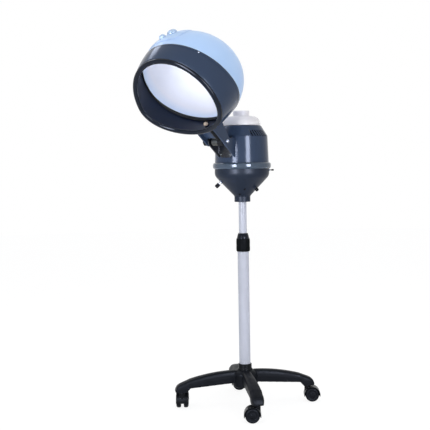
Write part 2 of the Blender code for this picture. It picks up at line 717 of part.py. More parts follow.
def make_caster(index, stand):
    """One twin-wheel caster: a fork that swivels on its stem, and a wheel pair that rolls on its axle."""
    angle = math.radians(leg_turn(index))
    stem_place = (LEG_STEM_REACH * math.cos(angle), LEG_STEM_REACH * math.sin(angle), 0.0)
    label = "caster_%d_" % (index + 1)
    swivel = empty(label + "swivel", stem_place, turn=CASTER_HEADINGS[index], parent=stand)
    axle = empty(label + "axle", (CASTER_TRAIL, 0.0, WHEEL_RADIUS), (0.0, 1.0, 0.0), parent=swivel)
    plastic = "black_moulded_plastic"
    centre = (CASTER_TRAIL, WHEEL_RADIUS)
    cover = arc(centre, COVER_RADIUS, -COVER_DROP_ANGLE, 180.0 + COVER_DROP_ANGLE, SMALL_STEPS)
    boss = arc(centre, AXLE_BOSS_RADIUS, 220.0, 320.0, 4)
    fork = plate(label + "fork", cover + boss, 2 * CASTER_HALF_WIDTH, 0.0, FRONT_VIEW, plastic,
                 swivel, local=True)
    boss_top = LEG_TIP_BOTTOM - CLEARANCE
    stem = turned(label + "stem_guide", [
        (0.0, LEG_TIP_BOTTOM + STEM_DEPTH), (STEM_RADIUS, LEG_TIP_BOTTOM + STEM_DEPTH),
        (STEM_RADIUS, boss_top), (STEM_BOSS_RADIUS, boss_top), (STEM_BOSS_RADIUS, WHEEL_RADIUS),
        (0.0, WHEEL_RADIUS),
    ], plastic, swivel, local=True, steps=SMALL_STEPS)
    fuse(fork, stem)
    wheel_space = WHEEL_RADIUS + COVER_GAP
    for side, low, high in (("left", WEB_THICKNESS / 2, CASTER_HALF_WIDTH + CUT_MARGIN),
                            ("right", -CASTER_HALF_WIDTH - CUT_MARGIN, -WEB_THICKNESS / 2)):
        cut(fork, rod(label + side + "_wheel_space", wheel_space, low, high, plastic, axle, local=True,
                      steps=WHEEL_STEPS))
    cut(fork, rod(label + "axle_hole", AXLE_RADIUS + CLEARANCE, -WEB_THICKNESS, WEB_THICKNESS, plastic,
                  axle, local=True))
    inner = CASTER_HALF_WIDTH - WHEEL_WIDTH
    half = [(0.0, CASTER_HALF_WIDTH), (WHEEL_RADIUS - WHEEL_ROUNDING, CASTER_HALF_WIDTH),
            (WHEEL_RADIUS, CASTER_HALF_WIDTH - WHEEL_ROUNDING), (WHEEL_RADIUS, inner), (AXLE_RADIUS, inner)]
    other_half = [(radius, -height) for radius, height in reversed(half)]
    turned(label + "wheels", half + other_half, plastic, axle, local=True, steps=WHEEL_STEPS)


# Post and clamp

def make_post(stand, slide, head):
    """The two tubes of the post, the plug and bush inside them, and the twist clamp at their joint."""
    seat = POST_SEAT + CLEARANCE
    steel = "white_painted_steel"
    tube("lower_post", LOWER_POST_RADIUS - POST_WALL, LOWER_POST_RADIUS, seat, LOWER_POST_TOP, steel, stand)
    tube("post_plug", POST_BOLT_RADIUS + CLEARANCE, SLEEVE_RADIUS, seat, seat + POST_PLUG_LENGTH,
         "pressed_steel", stand, steps=SMALL_STEPS)
    tube("upper_post", UPPER_POST_RADIUS - POST_WALL, UPPER_POST_RADIUS, UPPER_POST_BOTTOM, UPPER_POST_TOP,
         steel, head)
    floor_top = UPPER_POST_BOTTOM - CLEARANCE
    bush_bottom = floor_top - BUSH_FLOOR
    bush_top = bush_bottom + BUSH_HEIGHT
    turned("guide_bush", [
        (0.0, floor_top), (POST_BORE, floor_top), (POST_BORE, bush_top), (SLEEVE_RADIUS, bush_top),
        (SLEEVE_RADIUS, bush_bottom), (0.0, bush_bottom),
    ], "pale_liner_plastic", slide)
    head_low = LOWER_POST_TOP + CLEARANCE
    head_high = head_low + COLLET_HEAD_HEIGHT
    turned("clamp_collet", [
        (UPPER_POST_RADIUS + POST_WALL, head_high), (COLLET_HEAD_RADIUS, head_low), (SLEEVE_RADIUS, head_low),
        (SLEEVE_RADIUS, LOWER_POST_TOP - COLLET_INSERT), (POST_BORE, LOWER_POST_TOP - COLLET_INSERT),
        (POST_BORE, head_high),
    ], "black_grip_plastic", stand)
    clamp_axis = empty("clamp_axis", (0.0, 0.0, CLAMP_BOTTOM), parent=stand)
    collet_room = COLLET_HEAD_RADIUS + CLEARANCE
    post_room = LOWER_POST_RADIUS + CLEARANCE
    turned("clamp_nut", [
        (CLAMP_TOP_RADIUS, CLAMP_TOP), (CLAMP_RADIUS, CLAMP_SHOULDER),
        (CLAMP_RADIUS, CLAMP_BOTTOM + CLAMP_ROUNDING), (CLAMP_RADIUS - CLAMP_ROUNDING, CLAMP_BOTTOM),
        (post_room, CLAMP_BOTTOM), (post_room, LOWER_POST_TOP - CLEARANCE),
        (collet_room, LOWER_POST_TOP - CLEARANCE), (collet_room, head_low + CLEARANCE),
        (UPPER_POST_RADIUS + POST_WALL + CLEARANCE, head_high + CLEARANCE),
        (POST_BORE, head_high + CLEARANCE), (POST_BORE, CLAMP_TOP),
    ], "black_grip_plastic", clamp_axis)


# Boiler head

def cone_radius(height):
    """The bowl's outer radius on its straight cone."""
    share = (height - NECK_TOP) / (CONE_TOP - NECK_TOP)
    return NECK_RADIUS + (CONE_TOP_RADIUS - NECK_RADIUS) * share


def cone_normal():
    """The direction out of the straight cone, as (radial, up)."""
    rise = CONE_TOP - NECK_TOP
    spread = CONE_TOP_RADIUS - NECK_RADIUS
    length = math.hypot(rise, spread)
    return rise / length, -spread / length


def bowl_arc():
    """The rounded upper part of the bowl, from its brim down to the straight cone."""
    brim = BAND_BOTTOM - CLEARANCE
    points = []
    for k in range(BOWL_ARC_POINTS + 1):
        angle = math.pi / 2 * k / BOWL_ARC_POINTS
        radius = CONE_TOP_RADIUS + (BOWL_RADIUS - CONE_TOP_RADIUS) * math.cos(angle)
        points.append((radius, brim - (brim - CONE_TOP) * math.sin(angle)))
    return points


def make_bowl(head):
    """The conical bowl: a shell with a solid neck that the upper post runs into."""
    out, down = cone_normal()
    rise = (CONE_TOP - NECK_TOP) / (CONE_TOP_RADIUS - NECK_RADIUS)
    inner_cone_top = (CONE_TOP_RADIUS - SHELL_WALL * out, CONE_TOP - SHELL_WALL * down)
    inner_cone_low = inner_cone_top[1] - (inner_cone_top[0] - POST_SOCKET_RADIUS) * rise
    rounded = bowl_arc()
    inside = [(radius - SHELL_WALL, height) for radius, height in rounded[:-1]]
    profile = [(SEAM_RADIUS, SEAM_TOP), (SEAM_RADIUS, rounded[0][1])] + rounded
    profile += [(NECK_RADIUS, NECK_TOP), (NECK_RADIUS, NECK_BOTTOM), (POST_BORE, NECK_BOTTOM),
                (POST_BORE, UPPER_POST_TOP), (POST_SOCKET_RADIUS, UPPER_POST_TOP),
                (POST_SOCKET_RADIUS, inner_cone_low), inner_cone_top]
    profile += inside[:0:-1]
    profile += [(SEAM_RADIUS - SHELL_WALL, rounded[0][1]), (SEAM_RADIUS - SHELL_WALL, SEAM_TOP)]
    return turned("boiler_bowl", profile, "bowl_satin_plastic", head)


def make_shells(head):
    """The band, the mounting plate, the casing and the vented top cover."""
    edge = SEAM_RADIUS + CLEARANCE + BAND_WALL
    shoulder = edge + BAND_BULGE * BAND_SHOULDER_SHARE
    eighth = BAND_HEIGHT / 8
    turned("boiler_band", [
        (edge, BAND_TOP), (shoulder, BAND_TOP - eighth),
        (edge + BAND_BULGE, (BAND_BOTTOM + BAND_TOP) / 2), (shoulder, BAND_BOTTOM + eighth),
        (edge, BAND_BOTTOM), (BAND_BORE, BAND_BOTTOM), (BAND_BORE, BAND_TOP),
    ], "band_gloss_plastic", head)
    casing = turned("boiler_casing", [
        (CASING_TOP_RADIUS, CASING_TOP), (SEAM_RADIUS, BAND_TOP + CLEARANCE), (SEAM_RADIUS, CASING_BOTTOM),
        (SEAM_RADIUS - SHELL_WALL, CASING_BOTTOM), (CASING_TOP_RADIUS - SHELL_WALL, CASING_TOP),
    ], "slate_gloss_plastic", head)
    low = CASING_TOP + CLEARANCE
    skirt = CASING_TOP_RADIUS - SHELL_WALL - CLEARANCE
    waist = CASING_TOP + COVER_WAIST_HEIGHT
    deck_hole = SEAT_RADIUS + CLEARANCE
    cover = turned("top_cover", [
        (COVER_TOP_RADIUS, COVER_TOP), (COVER_WAIST_RADIUS, waist), (CASING_TOP_RADIUS, low),
        (skirt, low), (skirt, CASING_TOP - COVER_SKIRT),
        (skirt - TOP_COVER_WALL, CASING_TOP - COVER_SKIRT), (skirt - TOP_COVER_WALL, low),
        (COVER_WAIST_RADIUS - TOP_COVER_WALL, waist - TOP_COVER_WALL),
        (COVER_TOP_RADIUS - TOP_COVER_WALL, COVER_TOP - TOP_COVER_WALL),
        (deck_hole, COVER_TOP - TOP_COVER_WALL), (deck_hole, COVER_TOP),
    ], "slate_gloss_plastic", head)
    for k in range(VENT_COUNT):
        angle = VENT_FIRST_ANGLE + VENT_STEP_ANGLE * k
        cut(cover, vent_slot("right_vent_%d" % (k + 1), angle, VENT_LEAN, head))
        cut(cover, vent_slot("left_vent_%d" % (k + 1), 180.0 - angle, -VENT_LEAN, head))
    return casing


def vent_slot(name, angle, slant, head):
    """A leaning slot through the sloping side of the top cover."""
    reach = COVER_WAIST_RADIUS
    turn = Matrix.Rotation(math.radians(angle), 4, "Z")
    lean = Matrix.Rotation(math.radians(slant), 4, "X")
    place = turn @ Matrix.Translation((reach, 0.0, CASING_TOP + VENT_HEIGHT)) @ lean
    slot = block(name, (-VENT_LENGTH / 2, -VENT_WIDTH / 2, -VENT_LENGTH / 2),
                 (VENT_LENGTH / 2, VENT_WIDTH / 2, VENT_LENGTH / 2), "slate_gloss_plastic", head)
    slot.data.transform(place)
    return slot


def make_mounting_plate(head):
    """The plate that is clamped between bowl and casing, and carries the pot and the electrics."""
    return rod("mounting_plate", SEAM_RADIUS - CLEARANCE, PLATE_BOTTOM, PLATE_TOP, "pressed_steel", head,
               steps=ROUND_STEPS)


def make_tank(head, tank_axis):
    """The seat under the top cover's deck, the hollow water tank that lifts out, and its valve cap."""
    under_deck = COVER_TOP - TOP_COVER_WALL - CLEARANCE
    tube_low = COVER_TOP - SEAT_DEPTH
    turned("tank_seat", [
        (SEAT_RADIUS, COVER_TOP), (SEAT_RADIUS, under_deck), (SEAT_RADIUS + SEAT_FLANGE, under_deck),
        (SEAT_RADIUS + SEAT_FLANGE, under_deck - SEAT_WALL), (SEAT_RADIUS, under_deck - SEAT_WALL),
        (SEAT_RADIUS, tube_low), (SEAT_BORE, tube_low), (SEAT_BORE, COVER_TOP),
    ], "pale_liner_plastic", head)
    side = TANK_BOTTOM + TANK_SIDE_HEIGHT
    shoulder = TANK_BOTTOM + TANK_SHOULDER_HEIGHT
    grip = TANK_BOTTOM + TANK_GRIP_HEIGHT
    neck_low = TANK_BOTTOM - TANK_NECK_LENGTH
    outside = [
        (0.0, grip), (TANK_GRIP_RADIUS - TANK_EDGE, grip), (TANK_GRIP_RADIUS, grip - TANK_EDGE),
        (TANK_GRIP_RADIUS, shoulder), (TANK_SHOULDER_RADIUS, shoulder),
        (TANK_SIDE_RADIUS, side), (TANK_RADIUS, TANK_BOTTOM + TANK_EDGE), (TANK_FLOOR_RADIUS, TANK_BOTTOM),
        (TANK_NECK_RADIUS, TANK_BOTTOM), (TANK_NECK_RADIUS, neck_low),
    ]
    floor_top = TANK_BOTTOM + TANK_WALL
    neck_bore = TANK_NECK_RADIUS - TANK_WALL
    inside = [
        (neck_bore, neck_low), (neck_bore, floor_top), (TANK_FLOOR_RADIUS - TANK_WALL, floor_top),
        (TANK_SIDE_RADIUS - TANK_WALL, side), (TANK_SHOULDER_RADIUS - TANK_WALL / 2, shoulder - TANK_WALL),
        (TANK_GRIP_RADIUS - TANK_WALL, shoulder - TANK_WALL),
        (TANK_GRIP_RADIUS - TANK_WALL, grip - TANK_WALL),
        (0.0, grip - TANK_WALL),
    ]
    turned("water_tank", outside + inside, "clear_tank_plastic", tank_axis)
    cap_top = neck_low - CLEARANCE
    turned("tank_cap", [
        (TANK_NECK_RADIUS, cap_top), (TANK_NECK_RADIUS, cap_top - TANK_CAP_HEIGHT),
        (TANK_CAP_HOLE, cap_top - TANK_CAP_HEIGHT), (TANK_CAP_HOLE, cap_top),
    ], "beige_nozzle_plastic", tank_axis, steps=SMALL_STEPS)


def make_pot(head, mounting_plate):
    """The boiling pot on the plate, its lid, and the ring element whose legs pass through both floors."""
    floor_top = POT_BOTTOM + POT_WALL
    pot = turned("boiler_pot", [
        (0.0, floor_top), (POT_RADIUS - POT_WALL, floor_top), (POT_RADIUS - POT_WALL, POT_TOP),
        (POT_RADIUS, POT_TOP), (POT_RADIUS, POT_BOTTOM), (0.0, POT_BOTTOM),
    ], "bright_steel", head)
    lid_low = POT_TOP + CLEARANCE
    tube("pot_lid", POT_LID_HOLE, POT_RADIUS, lid_low, lid_low + POT_LID_THICKNESS, "bright_steel", head)
    ring_height = floor_top + ELEMENT_HEIGHT
    leg_low = PLATE_BOTTOM - ELEMENT_LEG_DROP
    loop = []
    for k in range(ELEMENT_POINTS + 1):
        share = k / ELEMENT_POINTS
        angle = math.radians(90 + ELEMENT_LEG_ANGLE + (360 - 2 * ELEMENT_LEG_ANGLE) * share)
        loop.append((ELEMENT_RADIUS * math.cos(angle), ELEMENT_RADIUS * math.sin(angle)))
    route = [(*loop[0], leg_low)] + [(*point, ring_height) for point in loop] + [(*loop[-1], leg_low)]
    curve = bpy.data.curves.new("heating_element", "CURVE")
    curve.dimensions = "3D"
    curve.bevel_depth = ELEMENT_ROD_RADIUS
    curve.bevel_resolution = 1
    curve.use_fill_caps = True
    spline = curve.splines.new("POLY")
    spline.points.add(len(route) - 1)
    for point, place in zip(spline.points, route):
        point.co = (*place, 1.0)
    add_piece("heating_element", mesh_of_curve("heating_element", curve, Matrix()), "element_steel", head)
    for label, (across, back) in (("first", loop[0]), ("second", loop[-1])):
        hole = rod(label + "_leg_hole", ELEMENT_ROD_RADIUS + CLEARANCE, leg_low,
                   ring_height - ELEMENT_ROD_RADIUS,
                   "pressed_steel", head)
        hole.data.transform(Matrix.Translation((across, back, 0.0)))
        hole.modifiers["turn"].object = empty(label + "_leg_axis", (across, back, 0.0), parent=head)
        cut(pot, hole)
        cut(mounting_plate, hole)
    return pot


def make_electrics(head):
    """The thermostat and the control board under the mounting plate."""
    top = PLATE_BOTTOM - CLEARANCE
    spot = empty("thermostat_axis", (THERMOSTAT_OFFSET, 0.0, 0.0), parent=head)
    rod("thermostat", THERMOSTAT_RADIUS, top - THERMOSTAT_HEIGHT, top, "beige_nozzle_plastic", spot,
        local=True)
    board_top = top - BOARD_DROP
    board = block("control_board",
                  (BOARD_OFFSET - BOARD_WIDTH / 2, -BOARD_LENGTH / 2, board_top - BOARD_THICKNESS),
                  (BOARD_OFFSET + BOARD_WIDTH / 2, BOARD_LENGTH / 2, board_top), "circuit_board", head)
    for label, side in (("front", -1), ("back", 1)):
        back = side * (BOARD_LENGTH / 2 - SPACER_INSET)
        spot = empty(label + "_spacer_axis", (BOARD_OFFSET, back, 0.0), parent=head)
        fuse(board, rod(label + "_spacer", SPACER_RADIUS, board_top - BOARD_THICKNESS / 2, top,
                        "circuit_board", spot, local=True))


# Controls on the bowl

def bowl_axis(name, turn, height, head):
    """An empty on the straight cone whose Z axis points out of it."""
    out, up = cone_normal()
    angle = math.radians(turn)
    radius = cone_radius(height)
    place = (radius * math.cos(angle), radius * math.sin(angle), height)
    return empty(name, place, (out * math.cos(angle), out * math.sin(angle), up), parent=head)


def wall_pin(name, radius, flange, flange_height, length, finish, axis, bowl):
    """A round piece that passes through the bowl's wall and seats its flange on it."""
    pin = turned(name, [
        (0.0, length), (radius, length), (radius, CLEARANCE + flange_height),
        (flange, CLEARANCE + flange_height),
        (flange, CLEARANCE), (radius, CLEARANCE), (radius, -THROUGH_WALL), (0.0, -THROUGH_WALL),
    ], finish, axis, local=True, steps=SMALL_STEPS)
    cut(bowl, rod(name + "_hole", radius + CLEARANCE, -THROUGH_WALL - CLEARANCE, CUT_MARGIN, finish, axis,
                  local=True))
    return pin


def make_controls(head, bowl):
    """Drain valve, control shaft, toggle, cone screws and cord gland, each seated in the bowl's wall."""
    for index, (label, turn, height) in enumerate((("drain", DRAIN_ANGLE, DRAIN_HEIGHT),
                                                   ("control", CONTROL_ANGLE, CONTROL_HEIGHT))):
        axis = bowl_axis(label + "_axis", turn, height, head)
        length = SHAFT_LENGTHS[index]
        wall_pin(label + "_shaft", SHAFT_RADIUS, SHAFT_FLANGE_RADIUS, SHAFT_FLANGE_HEIGHT, length,
                 "bright_steel", axis, bowl)
        low = length + CLEARANCE
        high = low + TURN_KNOB_LENGTHS[index]
        radius = TURN_KNOB_RADII[index]
        turned(label + "_knob", [
            (0.0, high), (radius - TURN_KNOB_ROUNDING, high), (radius, high - TURN_KNOB_ROUNDING),
            (radius, low),
            (0.0, low),
        ], "black_grip_plastic", axis, local=True, steps=SMALL_STEPS)
    for index, (turn, height) in enumerate(zip(CONE_SCREW_ANGLES, CONE_SCREW_HEIGHTS)):
        axis = bowl_axis("cone_screw_%d_axis" % (index + 1), turn, height, head)
        top = CLEARANCE + CONE_SCREW_HEAD_HEIGHT
        screw = turned("cone_screw_%d" % (index + 1), [
            (0.0, top), (CONE_SCREW_HEAD, top), (CONE_SCREW_HEAD, CLEARANCE), (CONE_SCREW_RADIUS, CLEARANCE),
            (CONE_SCREW_RADIUS, -SHELL_WALL), (0.0, -SHELL_WALL),
        ], "black_grip_plastic", axis, local=True, steps=SMALL_STEPS)
        cut(bowl, rod(screw.name + "_hole", CONE_SCREW_RADIUS + CLEARANCE, -SHELL_WALL - CLEARANCE,
                      CUT_MARGIN,
                      "black_grip_plastic", axis, local=True))
    gland_axis = bowl_axis("gland_axis", GLAND_ANGLE, GLAND_HEIGHT, head)
    nut_top = CLEARANCE + GLAND_NUT_HEIGHT
    turned("cord_gland", [
        (0.0, nut_top + GLAND_DOME_HEIGHT), (GLAND_TIP_RADIUS, nut_top + GLAND_DOME_HEIGHT),
        (GLAND_DOME_RADIUS, nut_top), (GLAND_NUT_RADIUS, nut_top), (GLAND_NUT_RADIUS, CLEARANCE),
        (GLAND_DOME_RADIUS, CLEARANCE), (GLAND_DOME_RADIUS, -THROUGH_WALL), (0.0, -THROUGH_WALL),
    ], "black_moulded_plastic", gland_axis, local=True, steps=SMALL_STEPS)
    cut(bowl, rod("gland_hole", GLAND_DOME_RADIUS + CLEARANCE, -THROUGH_WALL - CUT_MARGIN, CUT_MARGIN,
                  "black_moulded_plastic", gland_axis, local=True))
    make_toggle(head, bowl)


def bowl_radius_above_cone(height):
    """The bowl's outer radius on its rounded upper part."""
    brim = BAND_BOTTOM - CLEARANCE
    share = (brim - height) / (brim - CONE_TOP)
    return CONE_TOP_RADIUS + (BOWL_RADIUS - CONE_TOP_RADIUS) * math.sqrt(1 - share * share)


def make_toggle(head, bowl):
    """The thin lever just under the band, in its bush; it flips sideways."""
    turn = math.radians(TOGGLE_ANGLE)
    radius = bowl_radius_above_cone(TOGGLE_HEIGHT)
    outward = (math.cos(turn), math.sin(turn), 0.0)
    place = (radius * outward[0], radius * outward[1], TOGGLE_HEIGHT)
    axis = empty("toggle_axis", place, outward, parent=head)
    face = CLEARANCE + TOGGLE_BUSH_HEIGHT
    turned("toggle_bush", [
        (0.0, face), (TOGGLE_BUSH_RADIUS, face), (TOGGLE_BUSH_RADIUS, -THROUGH_WALL), (0.0, -THROUGH_WALL),
    ], "bright_steel", axis, local=True, steps=SMALL_STEPS)
    cut(bowl, rod("toggle_hole", TOGGLE_BUSH_RADIUS + CLEARANCE, -THROUGH_WALL - CLEARANCE, CUT_MARGIN,
                  "bright_steel", axis, local=True))
    root = face + CLEARANCE
    turned("toggle_lever", [
        (0.0, root + TOGGLE_LENGTH), (TOGGLE_RADIUS / 2, root + TOGGLE_LENGTH),
        (TOGGLE_RADIUS, root + TOGGLE_LENGTH - TOGGLE_RADIUS), (TOGGLE_RADIUS, root + TOGGLE_RADIUS),
        (TOGGLE_RADIUS / 2, root + TOGGLE_RADIUS / 4), (0.0, root),
    ], "black_grip_plastic", axis, local=True, steps=SMALL_STEPS)


# Hood

def plane_axes(tilt):
    """The directions up a tilted opening and out of it."""
    angle = math.radians(tilt)
    return Vector((0, -math.sin(angle), math.cos(angle))), Vector((0, -math.cos(angle), -math.sin(angle)))


RIM_UP, RIM_OUT = plane_axes(RIM_TILT)
JOINT_UP, JOINT_OUT = plane_axes(JOINT_TILT)
RIM_CENTRE = Vector((0, -RIM_FORWARD, RIM_HEIGHT))
JOINT_CENTRE = Vector((0, -JOINT_FORWARD, JOINT_HEIGHT))


def inset_from(centre, point, inset):
    """Move a point towards a centre by inset."""
    spoke = point - centre
    return centre + spoke * (1 - inset / spoke.length)


def rim_point(angle, inset=0.0, forward=0.0):
    """A point of the opening's outline; its nape half is drawn back into the hood."""
    dip = max(0.0, -math.sin(angle))
    along = RIM_NAPE if dip else RIM_FOREHEAD
    flat = RIM_CENTRE + Vector((RIM_HALF_WIDTH * math.cos(angle), 0, 0)) + RIM_UP * along * math.sin(angle)
    return inset_from(RIM_CENTRE, flat, inset) + RIM_OUT * (forward - RIM_NAPE_RECESS * dip * dip)


def joint_point(angle, inset=0.0, forward=0.0):
    """A point of the outline where the dome meets the ring."""
    along = JOINT_NAPE if math.sin(angle) < 0 else JOINT_FOREHEAD
    flat = (JOINT_CENTRE + Vector((JOINT_HALF_WIDTH * math.cos(angle), 0, 0))
            + JOINT_UP * along * math.sin(angle))
    return inset_from(JOINT_CENTRE, flat, inset) + JOINT_OUT * forward


def ring_point(angle, share, inset=0.0):
    """A point of the ring's surface, from the dome's joint (0) to the lip (1)."""
    return joint_point(angle, inset).lerp(rim_point(angle, inset, -LIP_DEPTH), share)


def dome_point(angle, climb, inset=0.0):
    """A point of the dome's surface: climb runs from its edge (0) to its crown (90), in degrees."""
    lift = math.radians(climb)
    edge = joint_point(angle, inset) - JOINT_CENTRE
    return JOINT_CENTRE + edge * math.cos(lift) - JOINT_OUT * (DOME_DEPTH - inset) * math.sin(lift)


def around(point_at):
    """One section of the hood: a point at each of the hood's facets."""
    return [point_at(2 * math.pi * k / HOOD_STEPS) for k in range(HOOD_STEPS)]


def dome_climbs(edge_lift):
    """The climbs of a dome's facet rows below its crown, the first one edge_lift above the joint."""
    return [math.degrees(math.asin(edge_lift / DOME_DEPTH)), *DOME_CLIMBS]


def dome_shell(name, outer_inset, wall, edge_lift, finish, hood, skirt=0.0):
    """A dome-shaped shell that starts edge_lift above the joint, or runs down into the ring by its skirt."""
    inner_inset = outer_inset + wall
    climbs = dome_climbs(edge_lift)
    crown = [[dome_point(0.0, 90.0, outer_inset)]]
    inner_crown = [[dome_point(0.0, 90.0, inner_inset)]]
    outer = [around(lambda a, c=climb: dome_point(a, c, outer_inset)) for climb in reversed(climbs)]
    inner = [around(lambda a, c=climb: dome_point(a, c, inner_inset)) for climb in climbs]
    if skirt:
        outer.append(around(lambda a: wall_point(a, outer_inset, skirt)))
        inner.insert(0, around(lambda a: wall_point(a, inner_inset, skirt)))
    return loft(name, crown + outer + inner + inner_crown, finish, hood, pole_start=True, pole_end=True)


def make_hood_shells(hood):
    """The ring, its lip, the inner gasket, the dome and the pale liner inside it."""
    outer = [around(lambda a, s=share: ring_point(a, s)) for share in RING_STATIONS]
    inner = [around(lambda a, s=share: ring_point(a, s, RING_WALL)) for share in reversed(RING_STATIONS)]
    ring = loft("hood_ring", outer + inner, "slate_gloss_plastic", hood, closed=True)
    back = CLEARANCE - LIP_DEPTH
    lip_edges = ((0.0, back), (0.0, -LIP_ROUNDING), (LIP_ROUNDING, 0.0), (LIP_WIDTH - LIP_ROUNDING, 0.0),
                 (LIP_WIDTH, -LIP_ROUNDING), (LIP_WIDTH, back))
    lip_rows = [around(lambda a, i=inset, f=forward: rim_point(a, i, f)) for inset, forward in lip_edges]
    loft("hood_lip", lip_rows,
         "black_grip_plastic", hood, closed=True)
    seat = RING_WALL + CLEARANCE
    gasket_top = LINER_SKIRT + CLEARANCE
    gasket_low = gasket_top + GASKET_HEIGHT
    gasket_edges = ((seat, gasket_top), (seat, gasket_low), (seat + GASKET_WIDTH, gasket_low),
                    (seat + GASKET_WIDTH, gasket_top))
    loft("liner_gasket", [around(lambda a, i=inset, d=depth: wall_point(a, i, d))
                          for inset, depth in gasket_edges], "black_rubber", hood, closed=True)
    dome_shell("hood_dome", 0.0, DOME_WALL, CLEARANCE, "blue_dome_plastic", hood)
    dome_shell("hood_liner", DOME_WALL + LINER_GAP, LINER_WALL, 0.0, "pale_liner_plastic", hood, LINER_SKIRT)
    return ring


def wall_point(angle, inset, depth):
    """A point inside the ring's wall, at a depth below the dome's joint."""
    whole = (rim_point(angle, 0.0, -LIP_DEPTH) - joint_point(angle)).length
    return ring_point(angle, depth / whole, inset)


def crown_patch(name, outer, inner, hood):
    """A patch over the dome's own facets at the front of the crown, between two offsets from it."""
    sections = []
    for row in range(PANEL_FIRST_ROW, PANEL_LAST_ROW + 1):
        climb = dome_climbs(CLEARANCE)[row]
        angles = [math.radians(360 * column / HOOD_STEPS)
                  for column in range(PANEL_FIRST_COLUMN, PANEL_LAST_COLUMN + 1)]
        top = [dome_point(angle, climb, -outer) for angle in angles]
        under = [dome_point(angle, climb, -inner) for angle in angles]
        sections.append(top + under[::-1])
    return loft(name, sections, "blue_dome_plastic", hood)


def make_crown(hood):
    """The raised crown panel at the front of the dome, and the two rounded caps that sit on it."""
    panel_top = CLEARANCE + PANEL_THICKNESS
    crown_patch("crown_panel", panel_top, CLEARANCE, hood)
    room = crown_patch("crown_cap_room", panel_top + CLEARANCE, -CAP_FOOT_DEPTH, hood)
    for index, (turn, climb) in enumerate(zip(CAP_TURNS, CAP_CLIMBS)):
        angle = math.radians(90 + turn)
        axis = empty("crown_cap_%d_axis" % (index + 1), dome_point(angle, climb, -panel_top),
                     surface_normal(angle, climb))
        keep_place(axis, hood)
        bpy.context.view_layer.update()
        radius, height = CAP_RADII[index], CAP_HEIGHTS[index]
        cap = turned("crown_cap_%d" % (index + 1), [
            (0.0, height), (radius * CAP_CROWN_SHARES[0], height * CAP_CROWN_SHARES[1]),
            (radius * CAP_SHOULDER_SHARES[0], height * CAP_SHOULDER_SHARES[1]), (radius, 0.0),
            (radius, -CAP_FOOT_DEPTH / 2), (0.0, -CAP_FOOT_DEPTH / 2),
        ], "blue_dome_plastic", axis, local=True, steps=SMALL_STEPS)
        cut(cap, room)


def surface_normal(angle, climb):
    """The direction out of the dome at a point of it."""
    step = NORMAL_STEP
    turn_step = math.radians(step)
    across = dome_point(angle + turn_step, climb) - dome_point(angle - turn_step, climb)
    upward = dome_point(angle, climb + step) - dome_point(angle, climb - step)
    normal = across.cross(upward).normalized()
    outside = dome_point(angle, climb) - JOINT_CENTRE
    return normal if normal.dot(outside) > 0 else -normal


# Hinge and steam path

NAPE = math.radians(270)


def nape_frame():
    """Where the ring's nape starts, the direction along it to the lip, and the direction out of it."""
    start = ring_point(NAPE, 0.0)
    along = (ring_point(NAPE, 1.0) - start).normalized()
    return start, along, Vector((0, -along.z, along.y))


def hood_plug(name, hood):
    """A solid of the ring's outside, grown by the clearance, for cutting what seats on it."""
    grown = -CLEARANCE
    sections = [around(lambda a: joint_point(a, grown, -PLUG_RISE))]
    sections += [around(lambda a, s=share: ring_point(a, s, grown)) for share in RING_STATIONS]
    return loft(name, sections, "slate_gloss_plastic", hood)


def make_yoke(head, casing):
    """The yoke on the casing's front: a block with two ears, bored for the pivots and the steam pipe."""
    plastic = "black_moulded_plastic"
    side = EAR_INNER + EAR_THICKNESS
    yoke = block("hinge_yoke", (-side, -YOKE_FRONT, YOKE_BOTTOM), (side, YOKE_DEPTH - YOKE_FRONT, YOKE_TOP),
                 plastic, head)
    eye = arc((-PIVOT_FORWARD, PIVOT_HEIGHT), EAR_RADIUS, 0.0, 345.0, SMALL_STEPS)
    root = [(-YOKE_FRONT + CUT_MARGIN, YOKE_BOTTOM + CUT_MARGIN),
            (-YOKE_FRONT + CUT_MARGIN, YOKE_TOP - CLEARANCE)]
    for label, sign in (("right", 1), ("left", -1)):
        middle = sign * (EAR_INNER + EAR_THICKNESS / 2)
        fuse(yoke, plate(label + "_ear", hull(eye + root), EAR_THICKNESS - CLEARANCE, middle, SIDE_VIEW,
                         plastic, head))
    fit = CLEARANCE
    cut(yoke, turned("casing_room", [
        (0.0, CASING_TOP), (CASING_TOP_RADIUS + fit, CASING_TOP), (SEAM_RADIUS + fit, BAND_TOP + CLEARANCE),
        (0.0, BAND_TOP + CLEARANCE),
    ], plastic, head))
    pivot_axis = empty("pivot_axis", PIVOT, (1.0, 0.0, 0.0), parent=head)
    cut(yoke, rod("pivot_hole", PIVOT_RADIUS + CLEARANCE, -side - CUT_MARGIN, side + CUT_MARGIN, plastic,
                  pivot_axis, local=True))
    for index, sign in enumerate((1, -1)):
        axis = empty("yoke_screw_%d_axis" % (index + 1),
                     (sign * YOKE_SCREW_SIDE, -YOKE_FRONT, YOKE_SCREW_HEIGHT),
                     (0.0, -1.0, 0.0), parent=head)
        top = CLEARANCE + YOKE_SCREW_HEAD_HEIGHT
        depth = YOKE_FRONT - SEAM_RADIUS + 2 * SHELL_WALL
        turned("yoke_screw_%d" % (index + 1), [
            (0.0, top), (YOKE_SCREW_HEAD, top), (YOKE_SCREW_HEAD, CLEARANCE), (YOKE_SCREW_RADIUS, CLEARANCE),
            (YOKE_SCREW_RADIUS, -depth), (0.0, -depth),
        ], "bright_steel", axis, local=True, steps=SMALL_STEPS)
        hole = rod("yoke_screw_hole_%d" % (index + 1), YOKE_SCREW_RADIUS + CLEARANCE, -depth - CUT_MARGIN,
                   CUT_MARGIN, plastic, axis, local=True)
        cut(yoke, hole)
        cut(casing, hole)
    return yoke


